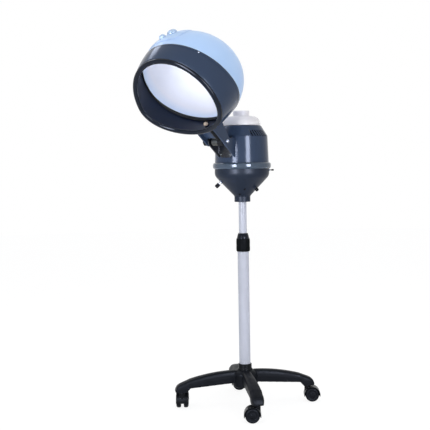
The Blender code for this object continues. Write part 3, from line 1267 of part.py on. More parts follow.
def make_steam_outlet(head, casing, yoke, pot):
    """The fixed steam pipe: from the pot through casing and yoke to a drum and spigot on the hinge axis."""
    steel = "pressed_steel"
    axis = empty("outlet_axis", (OUTLET_OFFSET, -PIVOT_FORWARD, PIVOT_HEIGHT), (0.0, 1.0, 0.0), parent=head)
    reach = PIVOT_FORWARD - POT_RADIUS + OUTLET_IN_POT
    pipe = rod("steam_outlet", OUTLET_RADIUS, 0.0, reach, steel, axis, local=True)
    across = empty("drum_axis", PIVOT, (1.0, 0.0, 0.0), parent=head)
    drum_low = OUTLET_OFFSET - DRUM_LENGTH / 2
    drum_high = OUTLET_OFFSET + DRUM_LENGTH / 2
    spigot_high = drum_high + SPIGOT_LENGTH
    fuse(pipe, turned("drum_and_spigot", [
        (0.0, spigot_high), (SPIGOT_RADIUS, spigot_high), (SPIGOT_RADIUS, drum_high),
        (DRUM_RADIUS, drum_high),
        (DRUM_RADIUS, drum_low), (0.0, drum_low),
    ], steel, across, local=True, steps=WHEEL_STEPS))
    bore = rod("outlet_bore", OUTLET_BORE, -SPIGOT_BORE / 2, reach + CUT_MARGIN, steel, axis, local=True)
    fuse(bore, rod("spigot_bore", SPIGOT_BORE, OUTLET_OFFSET - SPIGOT_BORE / 3, spigot_high + CUT_MARGIN,
                   steel,
                   across, local=True))
    cut(pipe, bore)
    room = rod("outlet_room", OUTLET_RADIUS + CLEARANCE, 0.0, reach + CUT_MARGIN, steel, axis, local=True)
    for wall in (casing, yoke, pot):
        cut(wall, room)
    return spigot_high


def make_hood_bracket(hood, ring, spigot_high):
    """The saddle and cheeks under the ring's nape, the pivots, and the elbow that brings steam inside."""
    start, along, out = nape_frame()
    steel = "black_moulded_plastic"
    first = start + along * CHEEK_START - out * CHEEK_BITE
    last = start + along * (CHEEK_START + CHEEK_LENGTH) - out * CHEEK_BITE
    eye = arc((-PIVOT_FORWARD, PIVOT_HEIGHT), CHEEK_RADIUS, 0.0, 345.0, SMALL_STEPS)
    outline = hull(eye + [(first.y, first.z), (last.y, last.z)])
    middle = (CHEEK_INNER + CHEEK_OUTER) / 2
    saddle_corners = [first, last, last + out * (CHEEK_BITE + SADDLE_THICKNESS),
                      first + out * (CHEEK_BITE + SADDLE_THICKNESS)]
    bracket = plate("hood_bracket", [(corner.y, corner.z) for corner in saddle_corners], 2 * CHEEK_OUTER, 0.0,
                    SIDE_VIEW, steel, hood)
    for label, sign in (("right", 1), ("left", -1)):
        fuse(bracket, plate(label + "_cheek", outline, CHEEK_THICKNESS, sign * middle, SIDE_VIEW, steel,
                            hood))
    cut(bracket, hood_plug("ring_room", hood))
    pivots = empty("hood_pivot_axis", (0.0, 0.0, 0.0), (1.0, 0.0, 0.0), parent=hood)
    reach = CHEEK_OUTER + CUT_MARGIN
    cut(bracket, rod("cheek_hole", PIVOT_RADIUS + CLEARANCE, -reach, reach, steel, pivots, local=True))
    head_low = CHEEK_OUTER + CLEARANCE
    turned("pivot_bolt", [
        (0.0, head_low + PIVOT_HEAD_HEIGHT), (PIVOT_HEAD_RADIUS * 0.8, head_low + PIVOT_HEAD_HEIGHT),
        (PIVOT_HEAD_RADIUS, head_low + PIVOT_HEAD_HEIGHT / 2), (PIVOT_HEAD_RADIUS, head_low),
        (PIVOT_RADIUS, head_low), (PIVOT_RADIUS, EAR_INNER), (0.0, EAR_INNER),
    ], "bright_steel", pivots, local=True, steps=SMALL_STEPS)
    for index, sign in enumerate((1, -1)):
        place = start + along * BRACKET_SCREW_ALONG + out * SADDLE_THICKNESS
        axis = empty("bracket_screw_%d_axis" % (index + 1), (sign * BRACKET_SCREW_SIDE, *place.yz), out)
        keep_place(axis, hood)
        bpy.context.view_layer.update()
        top = CLEARANCE + YOKE_SCREW_HEAD_HEIGHT
        turned("bracket_screw_%d" % (index + 1), [
            (0.0, top), (YOKE_SCREW_HEAD, top), (YOKE_SCREW_HEAD, CLEARANCE), (YOKE_SCREW_RADIUS, CLEARANCE),
            (YOKE_SCREW_RADIUS, -BRACKET_SCREW_REACH), (0.0, -BRACKET_SCREW_REACH),
        ], "bright_steel", axis, local=True, steps=SMALL_STEPS)
        hole = rod("bracket_screw_hole_%d" % (index + 1), YOKE_SCREW_RADIUS + CLEARANCE,
                   -BRACKET_SCREW_REACH - CUT_MARGIN, CUT_MARGIN, steel, axis, local=True)
        cut(bracket, hole)
        cut(ring, hole)
    make_tilt_knob(hood, head_low)
    make_elbow(hood, ring, bracket, pivots, spigot_high)


def make_tilt_knob(hood, head_low):
    """The knob on the left pivot that locks the hood's tilt, with its stud."""
    axis = empty("tilt_knob_axis", (0.0, 0.0, 0.0), (-1.0, 0.0, 0.0), parent=hood)
    top = head_low + KNOB_HEIGHT
    knob = turned("tilt_knob", [
        (0.0, top), (KNOB_RADIUS - KNOB_ROUNDING, top), (KNOB_RADIUS, top - KNOB_ROUNDING),
        (KNOB_RADIUS, head_low), (PIVOT_RADIUS, head_low), (PIVOT_RADIUS, EAR_INNER), (0.0, EAR_INNER),
    ], "black_grip_plastic", axis, local=True, steps=3 * KNOB_FLUTES)
    for index in range(KNOB_FLUTES):
        angle = 2 * math.pi * index / KNOB_FLUTES
        flute_axis = empty("knob_flute_%d_axis" % (index + 1),
                           (KNOB_RADIUS * math.cos(angle), KNOB_RADIUS * math.sin(angle), 0.0), parent=axis)
        cut(knob, rod("knob_flute_%d" % (index + 1), KNOB_FLUTE_RADIUS, head_low - CUT_MARGIN,
                      top + CUT_MARGIN,
                      "black_grip_plastic", flute_axis, local=True, steps=8))


def make_elbow(hood, ring, bracket, pivots, spigot_high):
    """The elbow that turns on the spigot and carries the steam through the ring, with its nozzle inside."""
    start, along, out = nape_frame()
    rubber = "black_rubber"
    collar_low = spigot_high - SPIGOT_LENGTH + TURNING_GAP
    collar_high = spigot_high + TURNING_GAP
    bore = SPIGOT_RADIUS + TURNING_GAP
    collar = bore + ELBOW_WALL
    elbow = turned("steam_elbow", [
        (0.0, collar_high + ELBOW_END), (collar, collar_high + ELBOW_END), (collar, collar_low),
        (bore, collar_low),
        (bore, collar_high), (0.0, collar_high),
    ], rubber, pivots, local=True, steps=WHEEL_STEPS)
    sideways = (collar_low + collar_high) / 2
    landing = start + along * ELBOW_LANDING
    way = landing - PIVOT
    length = way.length
    pipe_axis = empty("elbow_pipe_axis", (sideways, 0.0, 0.0), way, parent=hood)
    inside = length + RING_WALL + NOZZLE_STAND_OFF
    pipe_end = inside + NOZZLE_GRIP
    fuse(elbow, rod("elbow_pipe", ELBOW_PIPE_RADIUS, bore + ELBOW_WALL / 2, pipe_end, rubber, pipe_axis,
                    local=True))
    cut(elbow, rod("elbow_bore", ELBOW_BORE, 0.0, pipe_end + CUT_MARGIN, rubber, pipe_axis, local=True))
    room = rod("elbow_room", ELBOW_PIPE_RADIUS + CLEARANCE, length / 2, pipe_end, rubber, pipe_axis,
               local=True)
    cut(ring, room)
    cut(bracket, room)
    grip = ELBOW_PIPE_RADIUS + CLEARANCE
    outside = grip + NOZZLE_WALL
    top = inside + NOZZLE_LENGTH
    step = pipe_end + CLEARANCE
    turned("steam_nozzle", [
        (NOZZLE_HOLE + NOZZLE_WALL, top), (outside, step), (outside, inside), (grip, inside), (grip, step),
        (NOZZLE_HOLE, step), (NOZZLE_HOLE, top),
    ], "beige_nozzle_plastic", pipe_axis, local=True, steps=SMALL_STEPS)


def centre_on_origin(stand):
    """Move the stand so that the origin is the bottom centre of all its pieces together."""
    bpy.context.view_layer.update()
    graph = bpy.context.evaluated_depsgraph_get()
    corners = []
    for piece in PARTS.objects:
        shown = piece.evaluated_get(graph)
        corners += [shown.matrix_world @ vertex.co for vertex in shown.data.vertices]
    low = Vector([min(corner[axis] for corner in corners) for axis in range(3)])
    high = Vector([max(corner[axis] for corner in corners) for axis in range(3)])
    stand.location = (-(low.x + high.x) / 2, -(low.y + high.y) / 2, -low.z)
    bpy.context.view_layer.update()


def main():
    """Build the stand, the boiler head and the hood, in that order."""
    stand = empty("stand")
    slide = empty("post_slide", (0.0, 0.0, UPPER_POST_BOTTOM), parent=stand)
    head = empty("head_swivel", parent=slide)
    head.location.z = -UPPER_POST_BOTTOM
    bpy.context.view_layer.update()
    tank_axis = empty("tank_axis", (0.0, 0.0, TANK_BOTTOM), parent=head)
    hood = empty("hood_pivot", PIVOT, parent=head)
    make_base(stand)
    for index in range(LEG_COUNT):
        make_caster(index, stand)
    make_post(stand, slide, head)
    bowl = make_bowl(head)
    casing = make_shells(head)
    mounting_plate = make_mounting_plate(head)
    make_tank(head, tank_axis)
    pot = make_pot(head, mounting_plate)
    make_electrics(head)
    make_controls(head, bowl)
    yoke = make_yoke(head, casing)
    spigot_high = make_steam_outlet(head, casing, yoke, pot)
    ring = make_hood_shells(hood)
    make_crown(hood)
    make_hood_bracket(hood, ring, spigot_high)
    smooth_round_pieces()
    centre_on_origin(stand)


main()
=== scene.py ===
"""Visual model of a salon hair steamer on a rolling stand, laid out as a Blender add-on.

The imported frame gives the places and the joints, and each operator dresses one group of its pieces.
Lengths are metres, +Z is up and the hood faces -Y.
"""
import json
import math

import bmesh
import bpy
from bpy.props import FloatProperty, IntProperty, PointerProperty, StringProperty
from mathutils import Matrix, Vector

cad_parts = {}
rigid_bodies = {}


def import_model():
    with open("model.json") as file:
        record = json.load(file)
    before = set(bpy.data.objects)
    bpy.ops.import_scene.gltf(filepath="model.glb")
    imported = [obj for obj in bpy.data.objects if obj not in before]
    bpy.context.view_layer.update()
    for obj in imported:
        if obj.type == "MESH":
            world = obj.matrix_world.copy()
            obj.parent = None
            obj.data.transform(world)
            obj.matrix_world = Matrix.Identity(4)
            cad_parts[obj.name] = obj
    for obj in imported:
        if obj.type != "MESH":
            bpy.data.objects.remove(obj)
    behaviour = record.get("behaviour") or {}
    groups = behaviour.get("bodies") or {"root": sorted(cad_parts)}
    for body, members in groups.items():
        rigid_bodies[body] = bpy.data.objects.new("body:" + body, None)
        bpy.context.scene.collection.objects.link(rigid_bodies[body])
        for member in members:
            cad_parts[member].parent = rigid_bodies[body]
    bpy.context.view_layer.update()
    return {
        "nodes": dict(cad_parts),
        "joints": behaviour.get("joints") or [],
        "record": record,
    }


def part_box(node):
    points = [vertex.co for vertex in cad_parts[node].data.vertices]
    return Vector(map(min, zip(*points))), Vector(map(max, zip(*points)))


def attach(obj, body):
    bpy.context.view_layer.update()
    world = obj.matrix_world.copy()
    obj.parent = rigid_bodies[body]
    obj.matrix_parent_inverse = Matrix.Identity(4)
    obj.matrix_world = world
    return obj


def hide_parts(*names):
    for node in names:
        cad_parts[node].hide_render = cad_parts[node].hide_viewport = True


bl_info = {
    "name": "Hair steamer",
    "version": (1, 0, 0),
    "blender": (4, 5, 0),
    "location": "3D View > Sidebar > Hair steamer",
    "description": "Dresses the frame of a hair steamer on a rolling stand",
    "category": "Object",
}

for leftover in list(bpy.data.objects):
    bpy.data.objects.remove(leftover, do_unlink=True)
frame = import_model()
JOINTS = {joint["name"]: joint for joint in frame["joints"]}
POST = Vector((*((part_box("lower_post")[0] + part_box("lower_post")[1]) / 2).xy, 0.0))


def foot(node):
    """The height of a frame node's lowest point."""
    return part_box(node)[0].z


def top(node):
    """The height of a frame node's highest point."""
    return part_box(node)[1].z


# How finely round things are drawn
ROUND_STEPS = 96
WHEEL_STEPS = 64
KNOB_STEPS = 48
SMALL_STEPS = 40
SCREW_STEPS = 24
HOOD_STEPS = 160
DOME_ROWS = 40
ROUNDING_POINTS = 5
# The most of an edge that the roundings at its ends take up
MOST_OF_EDGE = 0.96
MERGE_DISTANCE = 0.000005
SHARP_ANGLE = math.radians(38)
NORMAL_STEP = math.radians(0.5)
SMOOTHING = 0.5
SKIRT_ROUNDING = 0.95
PILL_STEPS, PILL_ROWS = 12, 8
MILLIMETRE = 0.001
# Room between pieces that fit into one another
CLEARANCE = 0.0003
CASTERS = range(1, 5)
LOCAL = Matrix.Identity(4)
UPRIGHT = Vector((0, 0, 1))
WHITE = (1.0, 1.0, 1.0, 1.0)
FRAME_PIXELS = 430
SENSOR_WIDTH = 36.0
UNDOABLE = {"REGISTER", "UNDO"}


def length(name, text, default):
    """A length that a user may change."""
    return FloatProperty(name=name, description=text, default=default, unit="LENGTH", precision=5)


def angle(name, text, default):
    """An angle that a user may change, given here in degrees."""
    return FloatProperty(name=name, description=text, default=math.radians(default), subtype="ANGLE")


def number(name, text, default):
    """A plain number that a user may change."""
    return FloatProperty(name=name, description=text, default=default)


def count(name, text, default, least):
    """A count that a user may change."""
    return IntProperty(name=name, description=text, default=default, min=least)


def colour(name, text, default):
    """An sRGB colour that a user may change, written as six hex digits."""
    return StringProperty(name=name, description=text, default=default, maxlen=6)


class SteamerColours(bpy.types.PropertyGroup):
    """The colours of the finishes."""
    moulding: colour("Moulding", "Black nylon of the base and the wheels", "13161B")
    grip: colour("Grip", "Black plastic of the knobs, the collar and the caster covers", "101216")
    slate: colour("Slate", "Polished plastic of the ring, the bracket, the casing and the cover", "2D3A4F")
    band: colour("Band", "Polished band round the boiler", "3A4757")
    graphite: colour("Graphite", "Satin plastic of the bowl", "1B2432")
    dome: colour("Dome", "Light blue plastic of the dome", "A5C3F5")
    liner: colour("Liner", "Pale plastic inside the hood", "EEF1FB")
    tank: colour("Tank", "Milky plastic of the water tank", "EBE8EE")
    tube: colour("Tube", "Powder coat of the post", "B9BDCB")
    nozzle: colour("Nozzle", "Beige plastic of the steam nozzle", "D9C7B4")
    steel: colour("Steel", "Bright steel of the pivot bolt and the ring's screws", "A8ADB7")
    zinc: colour("Zinc", "Plated steel of the steam outlet and the hinge's screws", "46494F")
    floor: colour("Floor", "Pale studio floor", "F2F2F4")


class StandSizes(bpy.types.PropertyGroup):
    """Sizes of base, casters, post and clamp."""
    leg_root_reach: length("Leg root", "Where a leg leaves the hub", 0.032)
    leg_belly_reach: length("Leg belly", "Where a leg's straight underside ends", 0.199)
    leg_root_width: length("Leg root width", "A leg's width at the hub", 0.034)
    leg_tip_width: length("Leg tip width", "A leg's width at its caster", 0.044)
    leg_root_underside: length("Root underside", "Height of a leg's underside at the hub", 0.083)
    leg_end_underside: length("End underside", "Height of a leg's underside at the end of its belly", 0.073)
    leg_root_top: length("Leg root top", "Height of a leg's top at the hub", 0.126)
    leg_end_top: length("Leg end top", "Height of a leg's top at the end of its belly", 0.1022)
    leg_nose_bottom: length("Nose bottom", "Height of the caster socket's underside", 0.0582)
    hub_radius: length("Hub radius", "Radius of the hub", 0.044)
    hub_bottom: length("Hub bottom", "Height of the hub's underside", 0.068)
    collar_radius: length("Collar radius", "Radius of the collar round the post", 0.024)
    collar_top: length("Collar top", "Height of the collar's top", 0.148)
    moulding_grid: length("Moulding grid", "Grid that the mouldings are blended on", 0.0016)
    wheel_radius: length("Wheel radius", "Radius of a caster wheel", 0.025)
    wheel_width: length("Wheel width", "Width of one wheel of a pair", 0.016)
    caster_half_width: length("Caster half width", "Half of a caster's width", 0.0215)
    web_thickness: length("Web", "Thickness of the fork's web", 0.009)
    cover_wall: length("Cover wall", "Thickness of a caster's cover", 0.0025)
    cover_gap: length("Cover gap", "Room between wheel and cover", 0.0015)
    stem_radius: length("Stem radius", "Radius of a caster's stem", 0.0055)
    stem_boss_radius: length("Stem boss", "Radius of the boss under the stem", 0.0105)
    lower_tube_radius: length("Lower tube", "Outer radius of the lower tube", 0.020)
    upper_tube_radius: length("Upper tube", "Outer radius of the upper tube", 0.014)
    tube_wall: length("Tube wall", "Wall of both tubes", 0.002)
    tube_sleeve: length("Tube sleeve", "Length of the sleeve on the lower tube's end", 0.009)
    clamp_radius: length("Clamp radius", "Radius of the clamp's sleeve", 0.0238)
    clamp_shoulder: length("Clamp shoulder", "Height where the clamp's taper starts", 0.5925)
    clamp_step: length("Clamp step", "How far the taper stands back from the sleeve", 0.0014)
    clamp_top_radius: length("Clamp top radius", "Radius of the clamp's mouth", 0.0176)
    clamp_pads: count("Clamp pads", "Grip pads round the clamp", 4, 2)
    clamp_pad_share: number("Pad share", "Share of the round that pads take", 0.93)
    clamp_pad_rise: length("Pad rise", "How far a grip pad stands proud", 0.0007)


class BoilerSizes(bpy.types.PropertyGroup):
    """Sizes of the bowl, band, casing, cover, tank and hinge."""
    neck_bottom: length("Neck bottom", "Height of the neck's foot", foot("boiler_bowl"))
    neck_top: length("Neck top", "Height where the cone starts", 0.7455)
    neck_radius: length("Neck radius", "Radius of the neck", 0.0284)
    cone_top: length("Cone top", "Height where the straight cone ends", 0.8045)
    cone_radius: length("Cone radius", "Radius where the straight cone ends", 0.085)
    bowl_radius: length("Bowl radius", "Radius of the bowl's brim", 0.0972)
    shell_wall: length("Shell wall", "Wall of bowl and casing", 0.003)
    band_bottom: length("Band bottom", "Height of the band's foot", foot("boiler_band"))
    band_height: length("Band height", "Height of the band", 0.022)
    band_bulge: length("Band bulge", "How far the band swells", 0.0055)
    seam_radius: length("Seam radius", "Radius of the casing's foot", 0.0962)
    seam_top: length("Seam top", "Height of the bowl's upper edge", top("boiler_bowl"))
    casing_bottom: length("Casing bottom", "Height of the casing's foot", foot("boiler_casing"))
    casing_top: length("Casing top", "Height of the casing's top", top("boiler_casing"))
    casing_top_radius: length("Casing top radius", "Radius of the casing's top", 0.093)
    cover_waist: length("Cover waist", "Height where the cover's slope changes", 0.972)
    cover_waist_radius: length("Cover waist radius", "Radius where the cover's slope changes", 0.0845)
    cover_top: length("Cover top", "Height of the cover's deck", top("top_cover"))
    cover_top_radius: length("Cover top radius", "Radius of the cover's deck", 0.0705)
    cover_wall: length("Cover wall", "Wall of the cover", 0.0025)
    deck_hole: length("Deck hole", "Radius of the hole in the deck", 0.0336)
    vents: count("Vents", "Slots on each side of the cover", 7, 1)
    vent_first: angle("First vent", "Where the slots of a side start", -32.0)
    vent_step: angle("Vent step", "Angle between two slots", 7.0)
    vent_lean: angle("Vent lean", "How far a slot leans", 20.0)
    vent_width: length("Vent width", "Width of a slot", 0.0045)
    vent_length: length("Vent length", "Length of a slot", 0.024)
    tank_bottom: length("Tank bottom", "Height of the tank's foot", top("top_cover") + CLEARANCE)
    tank_radius: length("Tank radius", "Radius of the tank's foot", 0.069)
    tank_side_height: length("Tank side", "Height of the tank's upright side", 0.019)
    tank_shoulder_radius: length("Tank shoulder", "Radius of the tank's shoulder", 0.052)
    tank_shoulder_height: length("Tank shoulder height", "Height of the tank's shoulder", 0.033)
    tank_grip_radius: length("Tank grip", "Radius of the grip on top", 0.029)
    tank_top: length("Tank top", "Height of the tank's grip", top("water_tank"))
    tank_neck_radius: length("Tank neck", "Radius of the neck in its seat", 0.030)
    tank_neck_length: length("Tank neck length", "Length of the neck below the deck", 0.030)
    tank_wall: length("Tank wall", "Wall of the tank", 0.0025)
    hinge_grid: length("Hinge grid", "Grid that the hinge's mouldings are blended on", 0.0009)
    knob_radius: length("Tilt knob", "Radius of the tilt knob", 0.0145)
    knob_lobes: count("Knob lobes", "Lobes round the tilt knob", 7, 3)


class HoodSizes(bpy.types.PropertyGroup):
    """Sizes of the hood's opening, ring, dome and crown."""
    rim_tilt: angle("Rim tilt", "How far the opening leans back", 36.5)
    rim_forward: length("Rim forward", "Distance of the opening's middle before the post", 0.362)
    rim_height: length("Rim height", "Height of the opening's middle", 1.046)
    rim_half_width: length("Rim half width", "Half the opening's width", 0.168)
    rim_forehead: length("Rim forehead", "From the middle up to the forehead", 0.1781)
    rim_nape: length("Rim nape", "From the middle down to the nape", 0.127)
    nape_recess: length("Nape recess", "How far the nape is drawn back", 0.020)
    joint_tilt: angle("Joint tilt", "How far the dome's joint leans back", 47.0)
    joint_forward: length("Joint forward", "Distance of the joint's middle before the post", 0.283)
    joint_height: length("Joint height", "Height of the joint's middle", 1.1195)
    joint_half_width: length("Joint half width", "Half the width at the joint", 0.179)
    joint_forehead: length("Joint forehead", "From the middle up to the forehead", 0.184)
    joint_nape: length("Joint nape", "From the middle down to the nape", 0.148)
    dome_depth: length("Dome depth", "Depth of the dome above its joint", 0.181)
    dome_wall: length("Dome wall", "Wall of the dome", 0.003)
    ring_wall: length("Ring wall", "Wall of the ring", 0.004)
    ring_swell: length("Ring swell", "How far the ring swells between its edges", 0.002)
    lip_depth: length("Lip depth", "Depth of the lip", 0.010)
    lip_width: length("Lip width", "Width of the lip's front", 0.018)
    gasket_height: length("Gasket height", "Height of the gasket along the ring's wall", 0.016)
    gasket_width: length("Gasket width", "Width of the gasket", 0.007)
    liner_inset: length("Liner inset", "Distance of the liner inside the dome's skin", 0.006)
    liner_wall: length("Liner wall", "Wall of the liner", 0.002)
    liner_skirt: length("Liner skirt", "How far the liner runs down into the ring", 0.012)
    panel_first: angle("Panel first", "Where the crown panel starts round the joint", 78.75)
    panel_last: angle("Panel last", "Where the crown panel ends round the joint", 135.0)
    panel_low: angle("Panel low", "How far up the dome the crown panel starts", 6.0)
    panel_high: angle("Panel high", "How far up the dome the crown panel ends", 45.0)
    panel_thickness: length("Panel thickness", "How far the crown panel stands proud", 0.0020)


class StageSizes(bpy.types.PropertyGroup):
    """Where the camera stands and how it frames the object."""
    camera_distance: length("Camera distance", "From the post to the camera", 3.2)
    camera_height: length("Camera height", "Height of the camera", 0.852)
    camera_azimuth: angle("Camera azimuth", "Turn of the camera round the post", 35.0)
    camera_roll: angle("Camera roll", "Turn of the picture", -0.9)
    focal_pixels: number("Focal length", "Focal length in pixels", 896.0)
    post_pixel: number("Post pixel", "Column of the post at eye level", 241.9)
    level_pixel: number("Level pixel", "Row of the eye level", 166.0)


def linear(hex_colour):
    """Turn an sRGB hex colour into linear values with full opacity."""
    values = []
    for start in (0, 2, 4):
        value = int(hex_colour[start:start + 2], 16) / 255
        values.append(value / 12.92 if value <= 0.04045 else ((value + 0.055) / 1.055) ** 2.4)
    return (*values, 1.0)


def set_inputs(tree, node, inputs):
    """Set a node's inputs; each is a value, or an output socket to link."""
    for name, value in inputs.items():
        if isinstance(value, bpy.types.NodeSocket):
            tree.links.new(value, node.inputs[name])
        else:
            node.inputs[name].default_value = value


def add_node(tree, kind, output, inputs=None, **settings):
    """Add a node with its inputs and settings, and give one of its outputs."""
    node = tree.nodes.new(kind)
    for name, value in settings.items():
        setattr(node, name, value)
    set_inputs(tree, node, inputs or {})
    return node.outputs[output]


def noise(tree, place, patch, detail):
    """Noise with patches of a size in millimetres."""
    return add_node(tree, "ShaderNodeTexNoise", "Fac", {
        "Vector": place, "Scale": 1 / (patch * MILLIMETRE), "Detail": detail})


def mixed_colour(tree, share, first, second):
    """Two colours mixed by a share; the node keeps its colour sockets behind those for numbers."""
    return add_node(tree, "ShaderNodeMix", 2, {0: share, 6: first, 7: second}, data_type="RGBA")


def mapped(tree, value, run, result=(0.0, 1.0)):
    """A value's run turned into a result's run."""
    return add_node(tree, "ShaderNodeMapRange", "Result", {
        "Value": value, "From Min": run[0], "From Max": run[1], "To Min": result[0], "To Max": result[1]})


# Each finish: its record slot, colour, and what its surface shows.
#   tint: a second colour that the first drifts to over patches of blotch mm
#   grain: size in mm of the texture left by the mould or tool, and depth its height in mm
#   rough: the roughness range that the patches run through
#   gloss: the specular level, 0.5 for a plain plastic and less where fine texture or dye takes it down
#   spread: the share of light that spreads under the surface, over spread_mm
#   clear: the share of light that passes through
#   edge: the colour of painted light that shows through near the piece's edge, over the shares edge_rise of
#       its depth
# Grains finer than about a millimetre are drawn at that size, so that they show in a render.
FINISHES = {
    # Glass-filled nylon from a textured mould: a fine grain, faintly dusty on its broad faces
    "textured_nylon_black": dict(
        slot="black_moulded_plastic", colour="moulding", tint="16181E", blotch=35, grain=1.2, depth=0.05,
        rough=(0.34, 0.50), gloss=0.05),
    # The same nylon from a smooth mould, on the hinge: glossier, with soft grey glints on its edges
    "smooth_nylon_black": dict(
        slot="black_moulded_plastic", colour="13161C", tint="191C23", blotch=25, grain=1.6, depth=0.015,
        rough=(0.24, 0.34), gloss=0.3),
    # ABS from a smooth mould: near black with a soft sheen
    "smooth_abs_black": dict(
        slot="black_grip_plastic", colour="grip", tint="121418", blotch=25, grain=1.5, depth=0.012,
        rough=(0.22, 0.36), gloss=0.07),
    # The same ABS, dyed blue-black and polished, on the lip and the clamp's top: thin bright lines
    "polished_abs_night": dict(
        slot="black_grip_plastic", colour="0A101B", tint="0D1420", blotch=60, grain=16, depth=0.01,
        rough=(0.06, 0.11), gloss=0.15),
    # The same ABS from a grained mould, taking no highlight, on the clamp's grip; in the vents it is painted
    # shade
    "grained_abs_black": dict(
        slot="black_grip_plastic", colour="07090B", tint="0B0D10", blotch=12, grain=1.0, depth=0.03,
        rough=(0.50, 0.65), gloss=0.03),
    # ABS from a polished mould: deep gloss with the slight waviness of a thin wall
    "polished_abs_slate": dict(
        slot="slate_gloss_plastic", colour="slate", tint="2C3950", blotch=60, grain=16, depth=0.012,
        rough=(0.14, 0.20), gloss=0.16),
    # The ring's inside, from an unpolished core: the same blue-black without the mirror, painted darker as
    # shade
    "matt_abs_slate": dict(
        slot="slate_gloss_plastic", colour="101B2F", tint="142036", blotch=60, grain=1.2, depth=0.02,
        rough=(0.36, 0.46), gloss=0.12),
    # ABS from a mirror mould: the lamps show in the band as small sharp spots
    "polished_abs_band": dict(
        slot="band_gloss_plastic", colour="band", tint="3C4A5B", blotch=40, grain=12, depth=0.02,
        rough=(0.10, 0.16), gloss=0.35),
    # ABS from a spark-eroded mould: satin, with a grain that breaks up the highlight
    "satin_abs_graphite": dict(
        slot="bowl_satin_plastic", colour="graphite", tint="1E2636", blotch=45, grain=1.0, depth=0.03,
        rough=(0.34, 0.44), gloss=0.12),
    # Tinted polycarbonate, milky through its wall, so that light spreads inside it
    "tinted_polycarbonate_blue": dict(
        slot="blue_dome_plastic", colour="dome", tint="B0CCF8", blotch=120, grain=20, depth=0.03,
        rough=(0.30, 0.38), gloss=0.2, spread=0.5, spread_mm=9),
    # The same sheet left almost clear, greyed by what is under it
    "clear_polycarbonate_grey": dict(
        slot="blue_dome_plastic", colour="A6BED9", tint="B4C9E2", blotch=12, grain=8, depth=0.02,
        rough=(0.14, 0.22), gloss=0.25, clear=0.12),
    # Polypropylene, matt and bright, that diffuses the light in the hood; its edge is painted with the
    # dome's blue light
    "matt_polypropylene_pale": dict(
        slot="pale_liner_plastic", colour="liner", tint="E4E7F3", blotch=90, grain=1.4, depth=0.02,
        rough=(0.38, 0.5), gloss=0.1, spread=0.3, spread_mm=8, edge="D6E7FF", edge_rise=(-0.05, 0.14)),
    # Polypropylene without dye: milky, with a soft glow through the wall
    "milky_polypropylene_tank": dict(
        slot="clear_tank_plastic", colour="tank", tint="F0EEF3", blotch=50, grain=8, depth=0.02,
        rough=(0.22, 0.32), gloss=0.1, spread=0.5, spread_mm=12, clear=0.02),
    # Undyed nylon: a warm, dull beige with the mould's grain
    "moulded_nylon_beige": dict(
        slot="beige_nozzle_plastic", colour="nozzle", tint="CDB9A4", blotch=10, grain=1.0, depth=0.02,
        rough=(0.38, 0.5), gloss=0.3),
    # Powder coat on steel tube: flowed out, with a low orange-peel
    "powder_coated_steel_white": dict(
        slot="white_painted_steel", colour="tube", tint="C1C5D2", blotch=70, grain=2.2, depth=0.012,
        rough=(0.24, 0.34), gloss=0.1),
    # Turned steel painted dark as shade on the control shaft beside its knob, with a dull glint along it
    "oil_blackened_steel": dict(
        slot="bright_steel", colour="22242A", tint="2C2E33", blotch=6, grain=0.8, depth=0.004,
        rough=(0.34, 0.46), metal=1.0),
    # Turned stainless steel: bright, with fine marks of the tool in its highlight
    "turned_stainless_steel": dict(
        slot="bright_steel", colour="steel", tint="989DA7", blotch=6, grain=0.8, depth=0.004,
        rough=(0.20, 0.32), metal=1.0),
    # Zinc plate with a black passivation: dark metal with dull, broken glints
    "black_zinc_plated_steel": dict(
        slot="pressed_steel", colour="zinc", tint="56574F", blotch=9, grain=1.2, depth=0.006,
        rough=(0.30, 0.45), metal=1.0),
    # Alloy sheath of the element, browned in patches by heat
    "heat_darkened_steel": dict(
        slot="element_steel", colour="5E5750", tint="7A6450", blotch=7, grain=1.0, depth=0.01,
        rough=(0.40, 0.60), metal=1.0),
    # Green solder mask over glass cloth: a soft shine on a deep green
    "lacquered_glass_board": dict(
        slot="circuit_board", colour="2F5D3A", tint="3C7148", blotch=5, grain=1.0, depth=0.02,
        rough=(0.40, 0.55)),
    # Silicone rubber, matt and slightly bloomed
    "matt_silicone_black": dict(
        slot="black_rubber", colour="0A0B0E", tint="101216", blotch=14, grain=1.0, depth=0.02,
        rough=(0.50, 0.66), gloss=0.15),
}
PLAIN_GLOSS = 0.5
PATCH_DETAIL = 3.0
GRAIN_DETAIL = 2.0
# Between these values lies most of the noise
PATCH_RUN = (0.3, 0.7)


